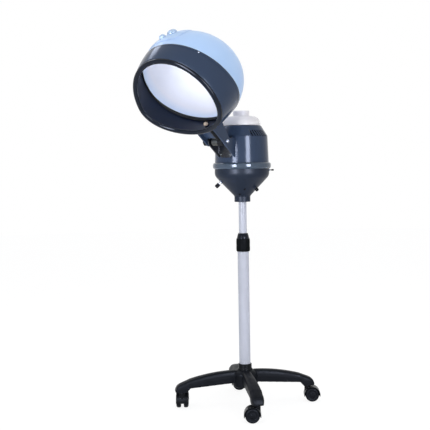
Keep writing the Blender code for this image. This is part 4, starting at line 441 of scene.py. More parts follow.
def finish(name):
    """The material of a finish, made the first time it is asked for."""
    known = bpy.data.materials.get(name)
    if known:
        return known
    facts = FINISHES[name]
    first = linear(getattr(bpy.context.scene.steamer_colours, facts["colour"], facts["colour"]))
    material = bpy.data.materials.new(name)
    material.use_nodes = True
    tree = material.node_tree
    place = add_node(tree, "ShaderNodeTexCoord", "Object")
    patches = noise(tree, place, facts["blotch"], PATCH_DETAIL)
    mixed = mixed_colour(tree, patches, first, linear(facts["tint"]))
    # The edge colour is painted light that shows through near the piece's edge
    if "edge" in facts:
        rise = add_node(tree, "ShaderNodeAttribute", "Fac", attribute_name="rise")
        mixed = mixed_colour(tree, mapped(tree, rise, facts["edge_rise"]), linear(facts["edge"]), mixed)
    bump = add_node(tree, "ShaderNodeBump", "Normal", {
        "Strength": 1.0, "Distance": facts["depth"] * MILLIMETRE,
        "Height": noise(tree, place, facts["grain"], GRAIN_DETAIL)})
    set_inputs(tree, tree.nodes["Principled BSDF"], {
        "Base Color": mixed, "Roughness": mapped(tree, patches, PATCH_RUN, facts["rough"]), "Normal": bump,
        "Metallic": facts.get("metal", 0.0), "Specular IOR Level": facts.get("gloss", PLAIN_GLOSS),
        "Subsurface Weight": facts.get("spread", 0.0), "Subsurface Radius": (1.0, 1.0, 1.0),
        "Subsurface Scale": facts.get("spread_mm", 1.0) * MILLIMETRE,
        "Transmission Weight": facts.get("clear", 0.0)})
    return material


def between(first, last, share):
    """A value part of the way from one to another."""
    return first + (last - first) * share


def squarish(value, power):
    """A sine or cosine drawn out towards one, which squares a round outline."""
    return math.copysign(abs(value) ** power, value)


def turn_steps(steps):
    """The angles of a full turn in equal steps."""
    return [2 * math.pi * k / steps for k in range(steps)]


def aimed(place, direction, axis="Z"):
    """A place with an axis along a direction and Y kept upright."""
    return Matrix.Translation(place) @ direction.to_track_quat(axis, "Y").to_matrix().to_4x4()


def raised(place, direction):
    """A place with Z turned the short way to a direction."""
    return Matrix.Translation(place) @ UPRIGHT.rotation_difference(direction).to_matrix().to_4x4()


def rounded(corners, loop=False):
    """A profile of (radius, height, rounding) corners, with each corner rounded by its rounding."""
    points = []
    for k, (radius, height, rounding) in enumerate(corners):
        here = Vector((radius, height))
        if not rounding or (not loop and k in (0, len(corners) - 1)):
            points.append(here)
            continue
        last = corners[k - 1]
        coming = corners[(k + 1) % len(corners)]
        before = Vector(last[:2]) - here
        after = Vector(coming[:2]) - here
        reach = min(rounding, before.length * MOST_OF_EDGE * rounding / (rounding + last[2]),
                    after.length * MOST_OF_EDGE * rounding / (rounding + coming[2]))
        start = here + before.normalized() * reach
        end = here + after.normalized() * reach
        for step in range(ROUNDING_POINTS + 1):
            share = step / ROUNDING_POINTS
            points.append(start * (1 - share) ** 2 + here * 2 * share * (1 - share) + end * share ** 2)
    return points


def skin(rings, loop=False):
    """A closed shape over rings of points; a ring of one point is a pole, an open end gets a cap."""
    shape = bmesh.new()
    rows = [[shape.verts.new(point) for point in ring] for ring in rings]
    pairs = list(zip(rows, rows[1:]))
    if loop:
        pairs.append((rows[-1], rows[0]))
    for first, second in pairs:
        for k in range(max(len(first), len(second))):
            corners = [first[k % len(first)], first[(k + 1) % len(first)],
                       second[(k + 1) % len(second)], second[k % len(second)]]
            shape.faces.new(list(dict.fromkeys(corners)))
    for row in (rows[0], rows[-1]):
        if not loop and len(row) > 2:
            shape.faces.new(row)
    bmesh.ops.recalc_face_normals(shape, faces=shape.faces)
    return shape


def turned(corners, place=None, loop=False, steps=ROUND_STEPS):
    """A shape turned about Z from a rounded profile, then put in its place, or on the post."""
    rings = []
    for radius, height in rounded(corners, loop):
        if radius < MERGE_DISTANCE:
            rings.append([Vector((0, 0, height))])
        else:
            rings.append([Vector((radius * math.cos(t), radius * math.sin(t), height))
                          for t in turn_steps(steps)])
    shape = skin(rings, loop)
    shape.transform(place or Matrix.Translation(POST))
    return shape


def slab(outline, low, high):
    """A flat plate of an outline in X and Z, between two places along Y."""
    return skin([[Vector((x, y, z)) for x, z in outline] for y in (low, high)])


def block(size, middle=(0, 0, 0)):
    """A box of a size round a middle."""
    shape = bmesh.new()
    bmesh.ops.create_cube(shape, size=1.0)
    shape.transform(Matrix.Translation(middle) @ Matrix.Diagonal((*size, 1.0)))
    return shape


def arc(centre, radius, first, last, steps):
    """Points on an arc between two angles in degrees, both ends included."""
    turns = [math.radians(first + (last - first) * k / steps) for k in range(steps + 1)]
    return [(centre[0] + radius * math.cos(t), centre[1] + radius * math.sin(t)) for t in turns]


def together(*shapes):
    """Several shapes as one."""
    whole = bmesh.new()
    for shape in shapes:
        mesh = bpy.data.meshes.new("part")
        shape.to_mesh(mesh)
        whole.from_mesh(mesh)
        shape.free()
        bpy.data.meshes.remove(mesh)
    return whole


def add_object(name, data):
    """A new object in the scene, at the origin."""
    made = bpy.data.objects.new(name, data)
    bpy.context.scene.collection.objects.link(made)
    return made


def discard(*objects):
    """Delete objects that were only needed on the way."""
    for unneeded in objects:
        bpy.data.objects.remove(unneeded, do_unlink=True)


def as_object(name, shape):
    """An object of a shape."""
    mesh = bpy.data.meshes.new(name)
    shape.to_mesh(mesh)
    shape.free()
    return add_object(name, mesh)


def shape_of(piece):
    """The shape of an object, which is deleted."""
    shape = bmesh.new()
    shape.from_mesh(piece.data)
    discard(piece)
    return shape


def modify(piece, kind, **settings):
    """Add a modifier with its settings, and make its result the piece's mesh."""
    modifier = piece.modifiers.new(kind.lower(), kind)
    for name, value in settings.items():
        setattr(modifier, name, value)
    set_mesh_from_modifiers(piece)


def set_mesh_from_modifiers(piece):
    """Make the evaluated mesh the piece's own, and remove its modifiers."""
    bpy.context.view_layer.update()
    graph = bpy.context.evaluated_depsgraph_get()
    mesh = bpy.data.meshes.new_from_object(piece.evaluated_get(graph))
    if not mesh.polygons:
        raise RuntimeError(piece.name + " has no faces")
    mesh.name = piece.name
    piece.modifiers.clear()
    piece.data = mesh


def boolean(piece, shape, operation, surface=None):
    """Cut a shape from a piece or join it on; a surface goes on the faces that the shape leaves."""
    tool = as_object("tool", shape)
    if surface:
        tool.data.materials.append(finish(surface))
    modify(piece, "BOOLEAN", object=tool, operation=operation, solver="EXACT",
           material_mode="TRANSFER" if surface else "INDEX")
    discard(tool)


def soften(piece, width, segments):
    """Round a piece's hard edges."""
    modify(piece, "BEVEL", width=width, segments=segments, limit_method="ANGLE", angle_limit=SHARP_ANGLE)


def settle(piece, surface, body, *nodes):
    """Finish a piece: its shading, its material, the body it rides on and what it stands for."""
    piece.data.materials.clear()
    piece.data.materials.append(finish(surface))
    piece.data.shade_smooth()
    piece.data.set_sharp_from_angle(angle=SHARP_ANGLE)
    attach(piece, body)
    if nodes:
        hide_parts(*nodes)
    return piece


def make(name, shape, surface, body, *nodes):
    """A finished piece of a shape."""
    return settle(as_object(name, shape), surface, body, *nodes)


def mould(name, shape, grid, passes, surface, body, *nodes):
    """A finished piece of shapes that run together on a grid, with the joints between them smoothed."""
    piece = as_object(name, shape)
    modify(piece, "REMESH", mode="VOXEL", voxel_size=grid)
    modify(piece, "SMOOTH", factor=SMOOTHING, iterations=passes)
    return settle(piece, surface, body, *nodes)


def second_finish(piece, surface, faces):
    """Give some faces of a settled piece another finish."""
    piece.data.materials.append(finish(surface))
    for face in faces:
        face.material_index = 1


def new_tree(name, **kinds):
    """A geometry node tree with inputs of these kinds, and what its input node gives."""
    tree = bpy.data.node_groups.new(name, "GeometryNodeTree")
    for socket, kind in kinds.items():
        tree.interface.new_socket(socket, in_out="INPUT", socket_type="NodeSocket" + kind)
    tree.interface.new_socket("Geometry", in_out="OUTPUT", socket_type="NodeSocketGeometry")
    return tree, tree.nodes.new("NodeGroupInput").outputs


def end_tree(tree, copies, surface):
    """Make a tree's copies real, give them their finish and hand them out."""
    real = add_node(tree, "GeometryNodeRealizeInstances", "Geometry", {"Geometry": copies})
    dressed = add_node(tree, "GeometryNodeSetMaterial", "Geometry", {"Geometry": real, "Material": surface})
    set_inputs(tree, tree.nodes.new("NodeGroupOutput"), {"Geometry": dressed})
    return tree


def tree_of_ring():
    """Geometry nodes that repeat a shape round Z, set at a radius and a height and leaning."""
    known = bpy.data.node_groups.get("ring_of_shapes")
    if known:
        return known
    tree, given = new_tree("ring_of_shapes", Shape="Object", Count="Int", First="Float", Step="Float",
                           Radius="Float", Height="Float", Lean="Float", Finish="Material")
    shape = add_node(tree, "GeometryNodeObjectInfo", "Geometry", {"Object": given["Shape"]})
    lean = add_node(tree, "ShaderNodeCombineXYZ", 0, {"X": given["Lean"]})
    reach = add_node(tree, "ShaderNodeCombineXYZ", 0, {"X": given["Radius"], "Z": given["Height"]})
    placed = add_node(tree, "GeometryNodeTransform", "Geometry", {
        "Geometry": shape, "Rotation": lean, "Translation": reach})
    points = add_node(tree, "GeometryNodeMeshLine", "Mesh", {
        "Count": given["Count"], "Offset": (0.0, 0.0, 0.0)})
    index = add_node(tree, "GeometryNodeInputIndex", "Index")
    turn = add_node(tree, "ShaderNodeMath", 0, {
        0: index, 1: given["Step"], 2: given["First"]}, operation="MULTIPLY_ADD")
    about = add_node(tree, "ShaderNodeCombineXYZ", 0, {"Z": turn})
    copies = add_node(tree, "GeometryNodeInstanceOnPoints", "Instances", {
        "Points": points, "Instance": placed, "Rotation": about})
    return end_tree(tree, copies, given["Finish"])


def tree_of_seats():
    """Geometry nodes that set a screw on each point of a mesh, along that point's facing."""
    known = bpy.data.node_groups.get("screws_on_seats")
    if known:
        return known
    tree, given = new_tree("screws_on_seats", Seats="Geometry", Screw="Object", Size="Float",
                           Finish="Material")
    screw = add_node(tree, "GeometryNodeObjectInfo", "Geometry", {"Object": given["Screw"]})
    facing = add_node(tree, "GeometryNodeInputNamedAttribute", "Attribute", {"Name": "facing"},
                      data_type="FLOAT_VECTOR")
    aim = add_node(tree, "FunctionNodeAlignRotationToVector", "Rotation", {"Vector": facing}, axis="Z")
    copies = add_node(tree, "GeometryNodeInstanceOnPoints", "Instances", {
        "Points": given["Seats"], "Instance": screw, "Rotation": aim, "Scale": given["Size"]})
    return end_tree(tree, copies, given["Finish"])


def grow(host, tree, **values):
    """Run a node tree on a host object with its inputs set, and keep the result as the host's mesh."""
    modifier = host.modifiers.new("nodes", "NODES")
    modifier.node_group = tree
    for item in tree.interface.items_tree:
        if item.in_out == "INPUT" and item.name in values:
            modifier[item.identifier] = values[item.name]
    set_mesh_from_modifiers(host)


def ring_of(shape, surface, copies, radius, height, first=0.0, step=None, lean=0.0):
    """A shape repeated about Z, as one new shape."""
    pattern = as_object("pattern", shape)
    host = as_object("ring", bmesh.new())
    grow(host, tree_of_ring(), Shape=pattern, Count=copies, First=first, Step=step or 2 * math.pi / copies,
         Radius=radius, Height=height, Lean=lean, Finish=finish(surface))
    discard(pattern)
    return shape_of(host)


def pill(thickness, width, height):
    """A long rounded bar along Z."""
    half = Vector((thickness, width, height)) / 2
    rings = [[half * -UPRIGHT]]
    for row in range(1, PILL_ROWS):
        climb = math.pi * row / PILL_ROWS
        level = UPRIGHT * -math.cos(climb)
        rings.append([half * (Vector((math.cos(t), math.sin(t), 0)) * math.sin(climb) + level)
                      for t in turn_steps(PILL_STEPS)])
    return skin([*rings, [half * UPRIGHT]])


def joint_at(name):
    """A joint's place in the frame."""
    return Vector(JOINTS[name]["pos_m"])


def frame_copy(node):
    """A copy of a frame node's mesh."""
    shape = bmesh.new()
    shape.from_mesh(frame["nodes"][node].data)
    bmesh.ops.remove_doubles(shape, verts=shape.verts, dist=MERGE_DISTANCE)
    return shape


# Hood: points of its surfaces

def plane_axes(tilt):
    """The directions up a tilted opening and out of it."""
    return Vector((0, -math.sin(tilt), math.cos(tilt))), Vector((0, -math.cos(tilt), -math.sin(tilt)))


def oval_point(centre, up, half_width, half_height, turn, inset):
    """A point of an oval round a centre, moved towards it by inset."""
    flat = centre + Vector((half_width * math.cos(turn), 0, 0)) + up * half_height * math.sin(turn)
    spoke = flat - centre
    return centre + spoke * (1 - inset / spoke.length)


def rim_centre(hood):
    """The middle of the hood's opening."""
    return POST + Vector((0, -hood.rim_forward, hood.rim_height))


def rim_point(hood, turn, inset=0.0, forward=0.0):
    """A point of the opening's outline; its nape half is drawn back into the hood."""
    up, out = plane_axes(hood.rim_tilt)
    dip = max(0.0, -math.sin(turn))
    along = hood.rim_nape if dip else hood.rim_forehead
    point = oval_point(rim_centre(hood), up, hood.rim_half_width, along, turn, inset)
    return point + out * (forward - hood.nape_recess * dip * dip)


def joint_centre(hood):
    """The middle of the dome's joint."""
    return POST + Vector((0, -hood.joint_forward, hood.joint_height))


def joint_point(hood, turn, inset=0.0):
    """A point of the outline where the dome meets the ring."""
    along = hood.joint_nape if math.sin(turn) < 0 else hood.joint_forehead
    up = plane_axes(hood.joint_tilt)[0]
    return oval_point(joint_centre(hood), up, hood.joint_half_width, along, turn, inset)


def wall_point(hood, turn, share, inset=0.0):
    """A point between the dome's joint (share 0) and the lip (share 1), in a straight line."""
    return joint_point(hood, turn, inset).lerp(rim_point(hood, turn, inset, -hood.lip_depth), share)


def ring_point(hood, turn, share, inset=0.0):
    """A point of the ring's surface, which swells between the dome's joint and the lip."""
    return wall_point(hood, turn, share, inset - hood.ring_swell * math.sin(math.pi * share))


def deep_point(hood, turn, inset, depth):
    """A point inside the ring's wall, at a depth below the dome's joint."""
    edge = rim_point(hood, turn, 0.0, -hood.lip_depth)
    return wall_point(hood, turn, depth / (edge - joint_point(hood, turn)).length, inset)


def dome_point(hood, turn, climb, inset=0.0):
    """A point of the dome's surface: climb runs from its edge (0) to its crown, in radians."""
    out = plane_axes(hood.joint_tilt)[1]
    centre = joint_centre(hood)
    edge = joint_point(hood, turn, inset) - centre
    return centre + edge * math.cos(climb) - out * (hood.dome_depth - inset) * math.sin(climb)


def outward(across, along, away):
    """The direction square to two others, on the side of a third."""
    normal = across.cross(along).normalized()
    return normal if normal.dot(away) > 0 else -normal


def dome_normal(hood, turn, climb):
    """The direction out of the dome at a point of it."""
    step = NORMAL_STEP
    across = dome_point(hood, turn + step, climb) - dome_point(hood, turn - step, climb)
    upward = dome_point(hood, turn, climb + step) - dome_point(hood, turn, climb - step)
    return outward(across, upward, dome_point(hood, turn, climb) - joint_centre(hood))


def hood_rows(hood, point_at, profile):
    """Rows of points round the hood, one for each entry of a profile."""
    return [[point_at(hood, turn, *entry) for turn in turn_steps(HOOD_STEPS)] for entry in profile]


def dome_shell(hood, inset, wall, edge_lift, skirt=0.0):
    """A dome-shaped shell that starts edge_lift above the joint, or runs down into the ring by its skirt."""
    low = math.asin(edge_lift / hood.dome_depth)
    crown = math.pi / 2
    climbs = [low + (crown - low) * k / DOME_ROWS for k in range(DOME_ROWS)]
    within = inset + wall
    rows = [[dome_point(hood, 0.0, crown, inset)]]
    rows += hood_rows(hood, dome_point, [(climb, inset) for climb in reversed(climbs)])
    if skirt:
        rounding = skirt * SKIRT_ROUNDING
        rows += hood_rows(hood, deep_point, (
            (inset, skirt / 2), (inset, rounding), (inset + wall / 2, skirt), (within, rounding),
            (within, skirt / 2)))
    rows += hood_rows(hood, dome_point, [(climb, within) for climb in climbs])
    return skin([*rows, [dome_point(hood, 0.0, crown, within)]])


# Operators; the corners of their profiles are (radius, height, rounding)

class STEAMER_OT_stage(bpy.types.Operator):
    """Set the pale floor, the soft lights, the white surround and the camera"""
    bl_idname = "steamer.stage"
    bl_label = "Stage"
    bl_options = UNDOABLE
    FLOOR_RADIUS = 9.0
    FLOOR_ROUGHNESS = 0.9
    FLOOR_GLOW = 1.1
    FLOOR_GLOW_SHARE = 0.8
    SURROUND_LIGHT = 0.6
    # What the lamps are aimed at, and their places, count from the post
    AIM = (0, -0.1, 0.9)
    # Name, place, share of the way from there to the aim, width and height, watts, and the light it leaves
    # out; a highlight's lamp stands a little before the soft light that it goes with
    LAMPS = (("left_softbox", (0.25, -2.6, 1.0), 0.0, (0.7, 1.6), 14.0, "glossy"),
             ("left_softbox_sheen", (0.25, -2.6, 1.0), 0.04, (0.7, 1.6), 160.0, "diffuse"),
             ("right_softbox", (2.3, -1.25, 1.05), 0.0, (0.7, 1.6), 16.0, "glossy"),
             ("right_softbox_sheen", (2.3, -1.25, 1.05), 0.04, (0.7, 1.6), 150.0, "diffuse"),
             ("ring_sheen", (-1.93, 0.05, 2.8), 0.0, (0.9, 0.5), 7.0, "diffuse"),
             ("top_softbox", (0.3, -0.5, 3.0), 0.0, (2.0, 2.0), 16.0, "glossy"))
    SHEEN_COLOUR = "DCE6FF"
    FILL_DISTANCE = 1.1
    FILL_SIZE = (0.5, 0.5)
    FILL_WATTS = 1.22
    FILL_SPREAD = math.radians(44)

    def execute(self, context):
        scene = context.scene
        self.add_floor(scene)
        self.add_surround(scene)
        self.add_lamps(scene.steamer_hood)
        self.add_camera(scene)
        scene.view_settings.view_transform = "Standard"
        return {"FINISHED"}

    def add_floor(self, scene):
        """A floor that shows white to the camera, and keeps a faint shadow."""
        shape = bmesh.new()
        bmesh.ops.create_circle(shape, cap_ends=True, segments=ROUND_STEPS, radius=self.FLOOR_RADIUS)
        floor = as_object("studio_floor", shape)
        material = bpy.data.materials.new("painted_studio_floor")
        material.use_nodes = True
        tree = material.node_tree
        paint = tree.nodes["Principled BSDF"]
        set_inputs(tree, paint, {"Base Color": linear(scene.steamer_colours.floor),
                                 "Roughness": self.FLOOR_ROUGHNESS})
        glow = add_node(tree, "ShaderNodeEmission", "Emission", {
            "Color": WHITE, "Strength": self.FLOOR_GLOW})
        share = mapped(tree, self.seen_white(tree), (0.0, 1.0), (0.0, self.FLOOR_GLOW_SHARE))
        mixed = add_node(tree, "ShaderNodeMixShader", "Shader", {
            0: share, 1: paint.outputs["BSDF"], 2: glow})
        set_inputs(tree, tree.nodes["Material Output"], {"Surface": mixed})
        floor.data.materials.append(material)

    def add_surround(self, scene):
        """A white surround that lights the object less than it shows."""
        world = bpy.data.worlds.new("white_surround")
        world.use_nodes = True
        scene.world = world
        tree = world.node_tree
        set_inputs(tree, tree.nodes["Background"], {
            "Color": WHITE,
            "Strength": mapped(tree, self.seen_white(tree), (0.0, 1.0), (self.SURROUND_LIGHT, 1.0))})

    def seen_white(self, tree):
        """One for rays that see the white background: from the camera, a gloss or a clear piece."""
        path = tree.nodes.new("ShaderNodeLightPath").outputs
        straight = add_node(tree, "ShaderNodeMath", 0, {
            0: path["Is Camera Ray"], 1: path["Is Transmission Ray"]}, operation="MAXIMUM")
        return add_node(tree, "ShaderNodeMath", 0, {
            0: straight, 1: path["Is Glossy Ray"]}, operation="MAXIMUM")

    def add_lamps(self, hood):
        """Soft lights and highlights round the object, and a fill that shines into the hood."""
        aim = POST + Vector(self.AIM)
        for name, place, nearer, size, watts, unlit in self.LAMPS:
            lamp = self.add_lamp(name, (POST + Vector(place)).lerp(aim, nearer), aim, size, watts, unlit)
            if unlit == "diffuse":
                lamp.color = linear(self.SHEEN_COLOUR)[:3]
        mouth = rim_centre(hood)
        before = mouth + plane_axes(hood.rim_tilt)[1] * self.FILL_DISTANCE
        fill = self.add_lamp("hood_fill", before, mouth, self.FILL_SIZE, self.FILL_WATTS, "glossy")
        fill.spread = self.FILL_SPREAD

    def add_lamp(self, name, place, aim, size, watts, unlit):
        """A rectangular lamp that the camera doesn't see, and that leaves one kind of light out."""
        lamp = bpy.data.lights.new(name, "AREA")
        lamp.shape = "RECTANGLE"
        lamp.size, lamp.size_y = size
        lamp.energy = watts
        holder = add_object(name, lamp)
        holder.matrix_world = aimed(place, aim - place, "-Z")
        holder.visible_camera = False
        setattr(holder, "visible_" + unlit, False)
        return lamp

    def add_camera(self, scene):
        """The photograph's camera."""
        stage = scene.steamer_stage
        camera = bpy.data.cameras.new("photo_camera")
        camera.sensor_width = SENSOR_WIDTH
        camera.lens = stage.focal_pixels / FRAME_PIXELS * SENSOR_WIDTH
        camera.shift_x = 0.5 - stage.post_pixel / FRAME_PIXELS
        camera.shift_y = stage.level_pixel / FRAME_PIXELS - 0.5
        holder = add_object("photo_camera", camera)
        turn = stage.camera_azimuth
        place = POST + Vector((math.sin(turn), -math.cos(turn), 0)) * stage.camera_distance
        place.z = stage.camera_height
        level = Matrix.Rotation(turn, 4, "Z") @ Matrix.Rotation(math.pi / 2, 4, "X")
        holder.matrix_world = Matrix.Translation(place) @ level @ Matrix.Rotation(stage.camera_roll, 4, "Z")
        scene.camera = holder


class STEAMER_OT_inner_parts(bpy.types.Operator):
    """Give the inner nodes that stay from the frame their finishes"""
    bl_idname = "steamer.inner_parts"
    bl_label = "Inner parts"
    bl_options = UNDOABLE
    DARK_SHAFT = "control_shaft"

    def execute(self, context):
        by_slot = {facts["slot"]: name for name, facts in FINISHES.items()}
        for entry in frame["record"]["subparts"]:
            node = frame["nodes"][entry["node"]]
            # The control shaft is painted dark, as shade beside its knob, in place of its bright steel
            dark = entry["node"] == self.DARK_SHAFT
            node.data.materials.clear()
            node.data.materials.append(finish(
                "oil_blackened_steel" if dark else by_slot[entry["material_slot"]]))
        return {"FINISHED"}


class STEAMER_OT_base(bpy.types.Operator):
    """Mould the four-legged base, with its hub and the collar round the post"""
    bl_idname = "steamer.base"
    bl_label = "Base"
    bl_options = UNDOABLE
    HUB_DECK_RADIUS = 0.030
    HUB_DECK_FALL = 0.010
    COLLAR_BRIM = 0.0022
    COLLAR_BRIM_TOP = 0.004
    COLLAR_STEP = 0.006
    BLEND_PASSES = 5
    BELLY_STEPS = 10
    CROWN_STEPS = 14
    CROWN_START = 0.45
    CROWN_ACROSS_POWER = 0.55
    CROWN_UP_POWER = 0.6
    UNDERSIDE_SHARE = 0.94
    # Reach past the belly, share of the width, share of the chamfer's rise, and drop of the top
    NOSE_SECTIONS = ((0.0040, 1.0, 0.66, 0.0017), (0.0080, 1.0, 0.33, 0.0034), (0.0120, 1.0, 0.0, 0.0051),
                     (0.0190, 1.0, 0.0, 0.0078), (0.0280, 1.0, 0.0, 0.0114), (0.0360, 0.97, 0.0, 0.0150),
                     (0.0420, 0.92, 0.01, 0.0186), (0.0470, 0.84, 0.03, 0.0236),
                     (0.0505, 0.73, 0.08, 0.0310), (0.0520, 0.60, 0.18, 0.0370))

    def execute(self, context):
        size = context.scene.steamer_stand
        deck = size.leg_root_top
        star = as_object("star", turned([
            (0.0, deck, 0), (self.HUB_DECK_RADIUS, deck, 0.004),
            (size.hub_radius, deck - self.HUB_DECK_FALL, 0.006), (size.hub_radius, size.hub_bottom, 0.005),
            (0.0, size.hub_bottom, 0)]))
        for caster in CASTERS:
            stem = joint_at("caster_%d_swivel" % caster) - POST
            leg = skin(self.leg_rings(size))
            leg.transform(Matrix.Translation(POST) @ Matrix.Rotation(math.atan2(stem.y, stem.x), 4, "Z"))
            boolean(star, leg, "UNION")
        mould("base_moulding", shape_of(star), size.moulding_grid, self.BLEND_PASSES, "textured_nylon_black",
              "base", "base_star")
        brim = size.collar_radius + self.COLLAR_BRIM
        sunk = deck - self.COLLAR_STEP
        bore = size.lower_tube_radius + CLEARANCE
        make("base_collar", turned([
            (size.collar_radius, size.collar_top, 0.0015),
            (size.collar_radius, deck + self.COLLAR_STEP, 0.0008),
            (brim, deck + self.COLLAR_BRIM_TOP, 0.001), (brim, sunk, 0), (bore, sunk, 0),
            (bore, size.collar_top, 0.001)], loop=True),
            "smooth_abs_black", "base")
        return {"FINISHED"}

    def leg_rings(self, size):
        """The sections of a leg from the hub to its nose, along +X."""
        rings = []
        rise = size.leg_root_top - size.leg_end_top
        for k in range(self.BELLY_STEPS + 1):
            share = k / self.BELLY_STEPS
            rings.append(self.leg_ring(
                between(size.leg_root_reach, size.leg_belly_reach, share),
                between(size.leg_root_width, size.leg_tip_width, share),
                between(size.leg_root_underside, size.leg_end_underside, share),
                size.leg_root_top - rise * share ** 2))
        for reach, narrowing, chamfer, drop in self.NOSE_SECTIONS:
            under = between(size.leg_nose_bottom, size.leg_end_underside, chamfer)
            rings.append(self.leg_ring(size.leg_belly_reach + reach, size.leg_tip_width * narrowing, under,
                                       size.leg_end_top - drop))
        return rings

    def leg_ring(self, reach, width, bottom, high):
        """A leg's section: flat below, crowned above."""
        half = width / 2
        middle = between(bottom, high, self.CROWN_START)
        ring = [Vector((reach, side * half * self.UNDERSIDE_SHARE, bottom)) for side in (-1, 1)]
        for k in range(self.CROWN_STEPS + 1):
            turn = math.pi * k / self.CROWN_STEPS
            across = squarish(math.cos(turn), self.CROWN_ACROSS_POWER)
            rise = (high - middle) * math.sin(turn) ** self.CROWN_UP_POWER
            ring.append(Vector((reach, half * across, middle + rise)))
        return ring


class STEAMER_OT_casters(bpy.types.Operator):
    """Make the four twin-wheel casters, each with a covered fork and a pair of wheels"""
    bl_idname = "steamer.casters"
    bl_label = "Casters"
    bl_options = UNDOABLE
    BLEND_PASSES = 3
    # Angles round the axle in degrees, and steps between them
    COVER_FROM, COVER_TO = -12, 192
    COVER_STEPS = 40
    WEB_STEPS = 30
    WEB_INSET = 0.0005
    AXLE_BOSS_RADIUS = 0.010
    AXLE_BOSS_FROM, AXLE_BOSS_TO = 220, 320
    AXLE_BOSS_STEPS = 8
    STEM_LENGTH = 0.0235
    STEM_BOSS_GAP = 0.0008
    STEM_BOSS_FOOT = 0.010
    # Radius, how far it lies inside the wheel's outer face, and rounding
    HUB_CAP = ((0, 0.0005, 0), (0.0062, 0.0005, 0.001), (0.0072, 0.0022, 0.0005), (0.0140, 0.0030, 0.001),
               (0.0150, 0.0012, 0.0006))
    # The same, with the radius counted down from the tread
    TREAD = ((0.0050, 0.0002, 0.001), (0.0010, 0.0028, 0.0015), (0.0, 0.0070, 0.002))
    TREAD_EDGE = 0.003
    TREAD_STEP = 0.0020
    AXLE_RADIUS = 0.0040

    def execute(self, context):
        size = context.scene.steamer_stand
        for caster in CASTERS:
            stem = joint_at("caster_%d_swivel" % caster)
            trail = joint_at("caster_%d_roll" % caster) - stem
            heading = Matrix.Rotation(math.atan2(trail.y, trail.x), 4, "Z")
            place = Matrix.Translation((stem.x, stem.y, 0)) @ heading
            mould("caster_%d_hood" % caster, self.fork_shape(size, trail.xy.length, place),
                  size.moulding_grid / 2, self.BLEND_PASSES, "smooth_abs_black", "fork_%d" % caster,
                  "caster_%d_fork" % caster)
            centre = place @ Matrix.Translation((trail.xy.length, 0, size.wheel_radius))
            make("caster_%d_wheel_pair" % caster,
                 turned(self.wheel_profile(size), centre @ Matrix.Rotation(-math.pi / 2, 4, "X"),
                        steps=WHEEL_STEPS),
                 "textured_nylon_black", "wheels_%d" % caster, "caster_%d_wheels" % caster)
        return {"FINISHED"}

    def fork_shape(self, size, trail, place):
        """A cover round the wheels' upper half, a web between them, and the stem."""
        centre = (trail, size.wheel_radius)
        inner = size.wheel_radius + size.cover_gap
        outer = inner + size.cover_wall
        half = size.caster_half_width
        cover = (arc(centre, outer, self.COVER_FROM, self.COVER_TO, self.COVER_STEPS)
                 + arc(centre, inner, self.COVER_TO, self.COVER_FROM, self.COVER_STEPS))
        web = (arc(centre, outer - self.WEB_INSET, self.COVER_FROM, self.COVER_TO, self.WEB_STEPS)
               + arc(centre, self.AXLE_BOSS_RADIUS, self.AXLE_BOSS_FROM, self.AXLE_BOSS_TO,
                     self.AXLE_BOSS_STEPS))
        stem_top = size.leg_nose_bottom + self.STEM_LENGTH
        boss_top = size.leg_nose_bottom - self.STEM_BOSS_GAP
        boss_foot = size.wheel_radius + self.STEM_BOSS_FOOT
        stem = turned([(0, stem_top, 0), (size.stem_radius, stem_top, 0.001),
                       (size.stem_radius, boss_top, 0), (size.stem_boss_radius, boss_top, 0.001),
                       (size.stem_boss_radius, boss_foot, 0), (0, boss_foot, 0)], LOCAL, steps=SMALL_STEPS)
        whole = together(slab(cover, -half, half),
                         slab(web, -size.web_thickness / 2, size.web_thickness / 2), stem)
        whole.transform(place)
        return whole

    def wheel_profile(self, size):
        """Both wheels and their axle in one profile, with a hub cap, a groove and a crowned tread."""
        outside = size.caster_half_width
        inside = outside - size.wheel_width
        radius = size.wheel_radius
        half = [(r, outside - depth, rounding) for r, depth, rounding in self.HUB_CAP]
        half += [(radius - fall, outside - depth, rounding) for fall, depth, rounding in self.TREAD]
        half += [(radius, inside + self.TREAD_EDGE, 0.001), (radius - self.TREAD_STEP, inside, 0.001),
                 (self.AXLE_RADIUS, inside, 0)]
        return half + [(r, -z, rounding) for r, z, rounding in reversed(half)]


